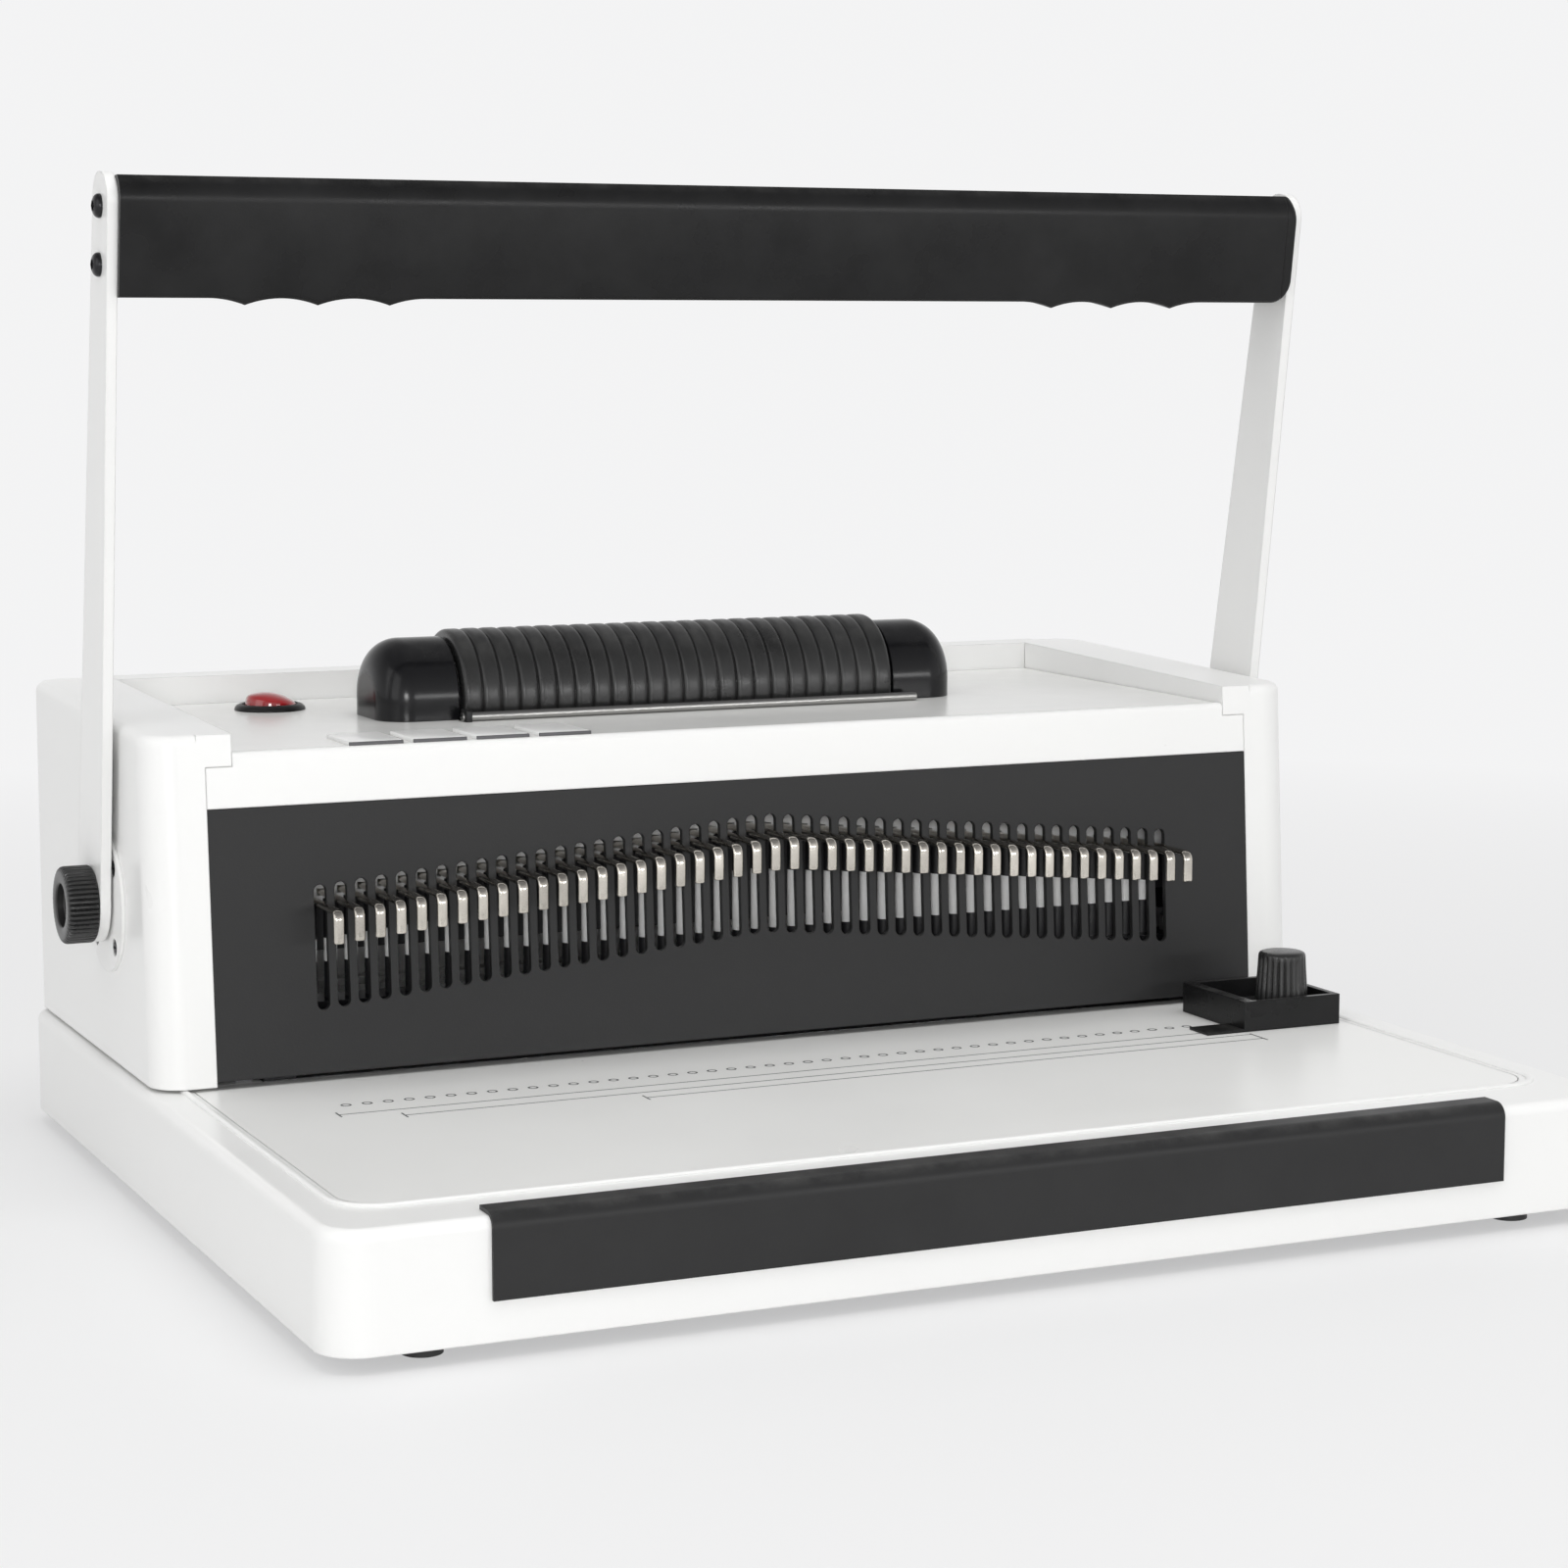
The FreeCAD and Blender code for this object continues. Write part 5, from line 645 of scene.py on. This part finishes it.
class BINDER_OT_pin_pulls(bpy.types.Operator):
    """Bend the row of pin pulls, each a strip whose section is a superellipse"""

    bl_idname = "binder.pin_pulls"
    bl_label = "Pin pulls"

    def execute(self, context):
        shapes = context.scene.binder_shapes
        low, high = extents("pin_pulls")
        half, thick, bend = shapes.pull_width / 2, shapes.pull_thick, shapes.pull_bend
        count = shapes.pull_count
        rise = high[2] - low[2] - shapes.pull_drop
        step = np.abs(np.arange(count) - (count - 1) / 2) - 0.5
        lift = rise * (1 - step / step.max())
        x = np.linspace(low[0] + half, high[0] - half, count)
        lean = math.tan(PANEL_LEAN)
        offsets = np.stack([x, low[1] + lift * lean, low[2] + shapes.pull_drop + lift], -1)
        tail = high[1] - low[1] - rise * lean
        radius = bend - thick / 2
        turn = np.linspace(0, np.pi / 2, 6)
        tip = np.array([0.25, 0.08, 0]) * thick
        path = np.concatenate([[[tail, -thick / 2]],
                               np.stack([bend - radius * np.sin(turn), radius * np.cos(turn) - bend], -1),
                               np.stack([np.full(3, thick / 2), tip - shapes.pull_drop], -1)])
        normal = np.concatenate([[[0, 1]], np.stack([-np.sin(turn), np.cos(turn)], -1), [[-1, 0]] * 3])
        narrow = np.concatenate([np.ones(8), [0.94, 0.75]])
        angle = np.linspace(0, 2 * np.pi, 24, endpoint=False)
        wave = np.stack([np.cos(angle), np.sin(angle)], -1)
        section = np.sign(wave) * np.abs(wave) ** 0.85 * (half, thick / 2)
        around = section[None] * narrow[:, None, None]
        rings = np.concatenate([around[..., :1], path[:, None] + around[..., 1:] * normal[:, None]], -1)
        make_piece("pull_hooks", copies(skin(rings), offsets), "press", "pull_plating",
                   ["pin_pulls"], crease=60)
        return {"FINISHED"}


def fluted(profile, flutes, depth, shares, exponent):
    """Radii of a fluted knob: the profile's, less depth times the cosine of half the flutes' angle to a power."""
    angle = np.linspace(0, 2 * np.pi, flutes * 10, endpoint=False)
    groove = np.abs(np.cos(flutes * angle / 2)) ** exponent
    return profile[:, :1] - depth * shares[:, None] * groove


class BINDER_OT_pivot_knobs(bpy.types.Operator):
    """Turn the two fluted pivot knobs"""

    bl_idname = "binder.pivot_knobs"
    bl_label = "Pivot knobs"

    def execute(self, context):
        shapes = context.scene.binder_shapes
        profile = np.array([
            (4.15, 0), (10.9, 0), (11.4, 0.3), (11.75, 0.9), (11.75, 4.5), (11.75, 7.9), (11.6, 8.6),
            (11.2, 9.1), (10.5, 9.4), (9.6, 9.5), (7.4, 9.5), (6.9, 9.35), (6.6, 9.0), (6.5, 6.5), (5.6, 6.45),
            (5.4, 7.3), (5.0, 7.5), (4.3, 7.5), (4.15, 7.3),
        ]) / 1000
        shares = np.interp(np.arange(len(profile)), [1, 3, 6, 9], [0, 1, 1, 0])
        radii = fluted(profile, shapes.pivot_flutes, shapes.flute_depth, shares, exponent=6)
        points, faces = turned(radii, profile[:, 1], radii.shape[1], sideways, closed=True)
        for side, word in zip(SIDES, ("left", "right")):
            node = f"{word}_pivot_knob"
            low, high = extents(node)
            place = (low + high) / 2
            place[0] = low[0] if side > 0 else high[0]
            make_piece(f"{word}_fluted_knob", (points * (side, 1, 1) + place, faces), f"{word}_nut",
                       "knob_plastic", [node])
        return {"FINISHED"}


class BINDER_OT_guide_knob(bpy.types.Operator):
    """Turn the tapered, fluted knob of the edge guide"""

    bl_idname = "binder.guide_knob"
    bl_label = "Guide knob"

    def execute(self, context):
        shapes = context.scene.binder_shapes
        low, high = extents("guide_knob")
        place = (low + high) / 2
        place[2] = low[2]
        profile = np.array([
            (2.55, 13.0), (2.55, 0), (8.2, 0), (8.6, 0.25), (8.7, 0.7), (8.4, 5), (8.05, 10), (7.75, 14.4),
            (7.65, 16.2), (7.6, 17.2), (7.45, 18.0), (7.05, 18.5), (6.3, 18.8), (4.0, 18.95), (1.2, 19.0),
        ]) / 1000
        shares = np.interp(profile[:, 1] * 1000, [0.2, 0.9, 16.0, 17.6], [0.3, 1, 1, 0])
        shares[:3] = 0
        radii = fluted(profile, shapes.guide_flutes, shapes.flute_depth, shares, exponent=5)
        points, faces = turned(radii, profile[:, 1], radii.shape[1], upright)
        make_piece("fluted_guide_knob", (points + place, faces), "clamp_knob", "knob_plastic",
                   ["guide_knob"])
        return {"FINISHED"}


class BINDER_OT_switch(bpy.types.Operator):
    """Turn the switch's bezel and its domed, tipped rocker"""

    bl_idname = "binder.switch"
    bl_label = "Switch"

    def execute(self, context):
        low, high = extents("switch_body")
        place = (low + high) / 2
        place[2] = extents("top_plate")[1][2]
        bottom = (low[2] - place[2]) * 1000
        profile = np.array([
            (10.0, bottom), (10.0, 0), (11.5, 0), (11.5, 0.35), (11.3, 0.9), (10.7, 1.5), (10.0, 1.85),
            (9.5, 2.0), (9.15, 1.9), (9.0, 1.65), (9.0, -8.0),
        ]) / 1000
        points, faces = turned(profile[:, 0], profile[:, 1], 72, upright)
        make_piece("switch_bezel", (points + place, faces), "machine", "black_plastic",
                   ["switch_body"])

        radius = np.array([8.0, 8.2, 8.2, 8.15, 8.0, 7.7, 7.0, 5.6, 3.8, 1.9, 0.4]) / 1000
        crown, ball, tilt = 0.0055, 0.016, math.radians(10)
        dome = crown - (ball - np.sqrt(ball ** 2 - radius ** 2))
        fall = np.array([1.2, 0.75, 0.4, 0.12, 0, 0, 0, 0, 0]) / 1000
        height = np.concatenate([[-0.003, -0.0028], dome[2:] - fall])
        points, faces = turned(radius, height, 72, upright)
        tipped = np.stack([points[:, 0] * np.cos(tilt) + points[:, 2] * np.sin(tilt), points[:, 1],
                           points[:, 2] * np.cos(tilt) - points[:, 0] * np.sin(tilt)], -1)
        make_piece("red_rocker", (tipped + place, faces), "switch_rocker", "red_lens", ["rocker"],
                   crease=40)
        return {"FINISHED"}


def socket_screw(radius, height, shank, socket, depth=0.004, columns=48):
    """A domed screw about Z with a hexagon socket, where r = flat / cos(angle to the flat's middle)."""
    angle = np.linspace(0, 2 * np.pi, columns, endpoint=False)
    flat = socket / np.cos((angle % (np.pi / 3)) - np.pi / 6)
    turn = np.linspace(0, np.pi / 2 * 0.8, 6)
    dome = radius * np.cos(turn) ** 0.8
    rise = height * (0.2 + 0.8 * np.sin(turn) / np.sin(turn[-1]))
    radii = np.concatenate([[[shank] * columns] * 2, [[radius] * columns], dome[:, None] + 0 * angle,
                            [flat, flat]])
    heights = np.concatenate([[-depth, 0, 0], rise, [height, height * 0.4]])
    return radii, heights


def cross_screw(radius, height, shank, depth, columns=64):
    """A pan-head screw about Z with a cross recess: r is the farther reach of two bars at each angle."""
    angle = np.linspace(0, 2 * np.pi, columns, endpoint=False) + np.pi / columns
    arm = np.minimum(radius * 0.6, radius * 0.16 / np.abs(np.sin(angle)))
    other = np.minimum(radius * 0.6, radius * 0.16 / np.abs(np.cos(angle)))
    cross = np.maximum(arm, other)
    rim = np.array([shank, shank, radius, radius, radius * 0.93, radius * 0.8])
    radii = np.concatenate([rim[:, None] + 0 * angle, [cross, cross * 0.75]])
    heights = np.array([-depth, 0, 0, height * 0.45, height * 0.85, height, height, height * 0.2])
    return radii, heights


def at_sides(shell, places):
    """A shell at each place, mirrored at those on the left."""
    points, faces = shell
    return joined(*[(points * (np.sign(place[0]), 1, 1) + place, faces) for place in places])


class BINDER_OT_screws(bpy.types.Operator):
    """Turn the screws that show on the grip, the flanges and the rear cover"""

    bl_idname = "binder.screws"
    bl_label = "Screws"

    def execute(self, context):
        arm = extents("right_arm")[1][0]
        low, high = extents("grip_screws")
        radius = 0.0035
        radii, heights = socket_screw(radius, height=0.0022, shank=0.002, socket=0.00145)
        screw = turned(radii, heights, radii.shape[1], sideways)
        places = [(side * arm, y, z) for side in SIDES for y, z in
                  ((high[1] - radius, low[2] + radius), (low[1] + radius, high[2] - radius))]
        make_piece("grip_screw_heads", at_sides(screw, places), "handle", "black_oxide",
                   ["grip_screws"])

        shank, rise = 0.0015, 0.0012
        flange = extents("bearing_flanges")[1][0]
        low, high = extents("flange_screws")
        radius = 0.0025
        radii, heights = cross_screw(radius, rise, shank, depth=0.009)
        points, faces = turned(radii, heights, radii.shape[1], sideways)
        places = [(side * flange, y, z) for side in SIDES for y in (low[1] + radius, high[1] - radius)
                  for z in (low[2] + radius, high[2] - radius)]
        make_piece("flange_screw_heads", at_sides((points - (rise, 0, 0), faces), places), "machine",
                   "black_oxide", ["flange_screws"])

        low, high = extents("rear_cover_screws")
        radius, inner = 0.003, 0.056
        radii, heights = cross_screw(radius, rise, shank, depth=high[1] - low[1] - 0.002)
        screw = turned(radii, heights, radii.shape[1], backwards)
        outer = high[0] - radius
        offsets = [(x, high[1] - rise, (low[2] + high[2]) / 2) for x in (-outer, -inner, inner, outer)]
        make_piece("rear_screw_heads", copies(screw, offsets), "machine", "zinc_steel",
                   ["rear_cover_screws"])
        return {"FINISHED"}


class BINDER_OT_table_details(bpy.types.Operator):
    """Lay the raised bead round the table and print its ring marks and ruled lines"""

    bl_idname = "binder.table_details"
    bl_label = "Table details"

    def execute(self, context):
        shapes = context.scene.binder_shapes
        low, high = extents("table_plate")
        deck = high[2]
        side = high[0] + shapes.bead_offset
        front = low[1] - shapes.bead_offset
        corner = shapes.bead_corner
        turn = np.linspace(0, np.pi / 2, 12)
        left = np.stack([-side + corner - corner * np.cos(turn), front + corner - corner * np.sin(turn)], -1)
        right = left[::-1] * (-1, 1)
        rear = high[1] - shapes.bead_stop
        path = np.concatenate([[[-side, rear]], left, right, [[side, rear]]])
        outward = np.concatenate([[[-1, 0]], np.stack([-np.cos(turn), -np.sin(turn)], -1),
                                  np.stack([np.sin(turn), -np.cos(turn)], -1), [[1, 0]]])
        arch = np.linspace(0, np.pi, 9)
        half, sunk = shapes.bead_width / 2, deck - 0.0001
        section = np.concatenate([[[-half, sunk], [half, sunk]],
                                  np.stack([half * np.cos(arch), deck + shapes.bead_height * np.sin(arch)], -1)])
        make_piece("table_bead", swept(path, outward, section), "machine", "white_paint")

        film, first, count, row = 0.00004, -0.1475, 45, -0.0245
        ring = turned(np.array([1.6, 1.6, 1.05, 1.05]) / 1000, deck + film * np.array([0, 1, 1, 0]), 20, upright,
                      closed=True)
        x = first + shapes.mark_pitch * np.arange(count)
        marks = [copies(ring, np.stack([x, np.full(count, row), np.zeros(count)], -1))]
        rules = [((-0.153, -0.0363), (0.13, -0.0358)), ((-0.136, -0.0443), (0.144, -0.0438)),
                 ((-0.065, -0.0513), (0.144, -0.0508)), ((0.1437, -0.0535), (0.1443, -0.043))]
        rules += [((start - 0.0005, y - 0.003), (start, y + 0.003)) for start, y in
                  ((-0.153, -0.036), (-0.136, -0.044), (-0.065, -0.051))]
        for start, end in rules:
            outline = rounded_outline(start, end, 0.00008, steps=2)
            marks.append(skin(np.array([at_level(outline, deck + level) for level in (0, film)])))
        make_piece("table_marks", joined(*marks), "machine", "ink")
        return {"FINISHED"}


class BINDER_OT_top_details(bpy.types.Operator):
    """Lay the blank pads on the top plate, each with a dark strip before it as painted shadow, and clip the guide
    bar's left end
    """

    bl_idname = "binder.top_details"
    bl_label = "Top details"

    def execute(self, context):
        shapes = context.scene.binder_shapes
        deck = extents("top_plate")[1][2]
        first, front, rear = -0.1315, 0.0188, 0.0415
        last = first + shapes.pad_width
        pad = soft_slab(np.array([first, front, deck]), np.array([last, rear, deck + 0.0011]), 0.001, 0.0003)
        # A dark strip before each pad, in the ink's colour: painted shadow of the pad's front edge.
        edge = soft_slab(np.array([first, front - 0.0012, deck]),
                         np.array([last, front - 0.00002, deck + 0.001]), 0.0002, 0.0001)
        offsets = np.arange(4)[:, None] * np.array([shapes.pad_pitch, 0, 0])
        make_piece("blank_pads", copies(pad, offsets), "machine", "white_paint")
        make_piece("pad_edges", copies(edge, offsets), "machine", "ink")

        low, high = extents("coil_guide_bar")
        half, margin, rise, rim = 0.0011, 0.0012, 0.0009, 0.0006
        clip = soft_slab(np.array([-half, low[1] - margin, deck]),
                         np.array([half, high[1] + margin, high[2] + rise]), rim, rim)
        make_piece("bar_clip", copies(clip, [(low[0] + 0.0016, 0, 0)]), "machine", "black_plastic")
        return {"FINISHED"}


def aim(thing, target):
    """Turns a lamp or camera so that it looks at a point."""
    thing.rotation_euler = (target - thing.location).to_track_quat("-Z", "Y").to_euler()


def seen_directly(nodes):
    """One for rays from the camera, in mirrors or through glass, none for rays that only light the scene."""
    rays = nodes.add("ShaderNodeLightPath").outputs
    return nodes.math("MAXIMUM", rays["Is Camera Ray"],
                      nodes.math("MAXIMUM", rays["Is Glossy Ray"], rays["Is Transmission Ray"]))


class BINDER_OT_stage(bpy.types.Operator):
    """Set the camera, the lamps and the pale floor"""

    bl_idname = "binder.stage"
    bl_label = "Stage"

    def execute(self, context):
        stage = context.scene.binder_stage
        scene = context.scene
        scene.view_settings.view_transform = "Standard"
        camera = bpy.data.objects.new("camera", bpy.data.cameras.new("camera"))
        scene.collection.objects.link(camera)
        camera.data.lens = stage.lens
        camera.data.sensor_width = SENSOR_WIDTH
        camera.location = stage.eye
        camera.rotation_euler = (math.pi / 2 - stage.pitch, 0, -stage.yaw)
        scene.camera = camera

        middle = (CAD_BOUNDS[0] + CAD_BOUNDS[1]) / 2
        for kind, (wide, high, place) in LAMPS.items():
            name = f"{kind}_lamp"
            lamp = bpy.data.objects.new(name, bpy.data.lights.new(name, "AREA"))
            lamp.data.shape = "RECTANGLE"
            lamp.data.energy = getattr(stage, kind)
            lamp.data.size = wide
            lamp.data.size_y = high
            lamp.location = place
            lamp.visible_glossy = kind != "top"
            aim(lamp, middle)
            scene.collection.objects.link(lamp)

        world = bpy.data.worlds.new("studio")
        scene.world = world
        world.use_nodes = True
        nodes = Nodes(world.node_tree)
        sky = world.node_tree.nodes["Background"]
        sky.inputs["Strength"].default_value = stage.sky
        sky.inputs["Color"].default_value = (1, 1, 1, 1)
        facing = nodes.add("ShaderNodeTexCoord").outputs["Generated"]
        height = nodes.add("ShaderNodeSeparateXYZ", {0: facing}).outputs["Z"]
        above = nodes.span(height, *CEILING_SPAN, 0.0, 1.0)
        mirrored = nodes.mix(above, (*stage.backdrop, 1), (*stage.ceiling, 1))
        seen = nodes.add("ShaderNodeBackground", {"Color": mirrored, "Strength": 1.0})
        both = nodes.add("ShaderNodeMixShader", {0: seen_directly(nodes), 1: sky.outputs[0],
                                                 2: seen.outputs[0]})
        world.node_tree.links.new(both.outputs[0], world.node_tree.nodes["World Output"].inputs[0])

        reach = np.linspace(-FLOOR_REACH, FLOOR_REACH, 3)
        x, y = np.meshgrid(reach, reach, indexing="ij")
        points = np.stack([x, y, 0 * x], -1).reshape(-1, 3)
        corner = np.array([0, 1, 3, 4])[:, None]
        sheet = bpy.data.meshes.new("floor")
        sheet.from_pydata(points, [], (corner + np.array([0, 3, 4, 1])).tolist())
        floor = bpy.data.objects.new("floor", sheet)
        scene.collection.objects.link(floor)
        coat = make_finish("floor_paint", stage.floor, 0.6, 60.0, 0.0, (0.99, 1.0))
        sheet.materials.append(coat)
        nodes = Nodes(coat.node_tree)
        away = nodes.add("ShaderNodeVectorMath", {0: nodes.place()}, operation="LENGTH").outputs["Value"]
        faded = nodes.span(away, stage.fade * 0.25, stage.fade, 0.5, 1.0)
        glow = nodes.add("ShaderNodeEmission", {"Color": (*stage.backdrop, 1), "Strength": 1.0})
        blend = nodes.add("ShaderNodeMixShader", {0: nodes.math("MULTIPLY", faded, seen_directly(nodes)),
                                                  1: coat.node_tree.nodes["Principled BSDF"].outputs[0],
                                                  2: glow.outputs[0]})
        coat.node_tree.links.new(blend.outputs[0], coat.node_tree.nodes["Material Output"].inputs[0])
        return {"FINISHED"}


OPERATORS = (BINDER_OT_finishes, BINDER_OT_roller_sleeve, BINDER_OT_grip, BINDER_OT_pin_pulls,
             BINDER_OT_pivot_knobs, BINDER_OT_guide_knob, BINDER_OT_switch, BINDER_OT_screws,
             BINDER_OT_table_details, BINDER_OT_top_details, BINDER_OT_stage)


class BINDER_PT_panel(bpy.types.Panel):
    """Lists the steps that finish the machine"""

    bl_idname = "BINDER_PT_panel"
    bl_label = "Coil binding machine"
    bl_space_type = "VIEW_3D"
    bl_region_type = "UI"
    bl_category = "Binder"

    def draw(self, context):
        for operator in OPERATORS:
            self.layout.operator(operator.bl_idname)


GROUPS = {"binder_finishes": BinderFinishes, "binder_shapes": BinderShapes, "binder_stage": BinderStage}


def register():
    """Adds the properties, operators and panel."""
    for name, group in GROUPS.items():
        bpy.utils.register_class(group)
        setattr(bpy.types.Scene, name, PointerProperty(type=group))
    for thing in OPERATORS + (BINDER_PT_panel,):
        bpy.utils.register_class(thing)


def unregister():
    """Takes the panel, operators and properties away again."""
    for thing in (BINDER_PT_panel,) + OPERATORS[::-1]:
        bpy.utils.unregister_class(thing)
    for name, group in GROUPS.items():
        delattr(bpy.types.Scene, name)
        bpy.utils.unregister_class(group)


def main():
    """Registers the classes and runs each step."""
    register()
    for operator in OPERATORS:
        group, name = operator.bl_idname.split(".")
        getattr(getattr(bpy.ops, group), name)()


if __name__ == "__main__":
    main()
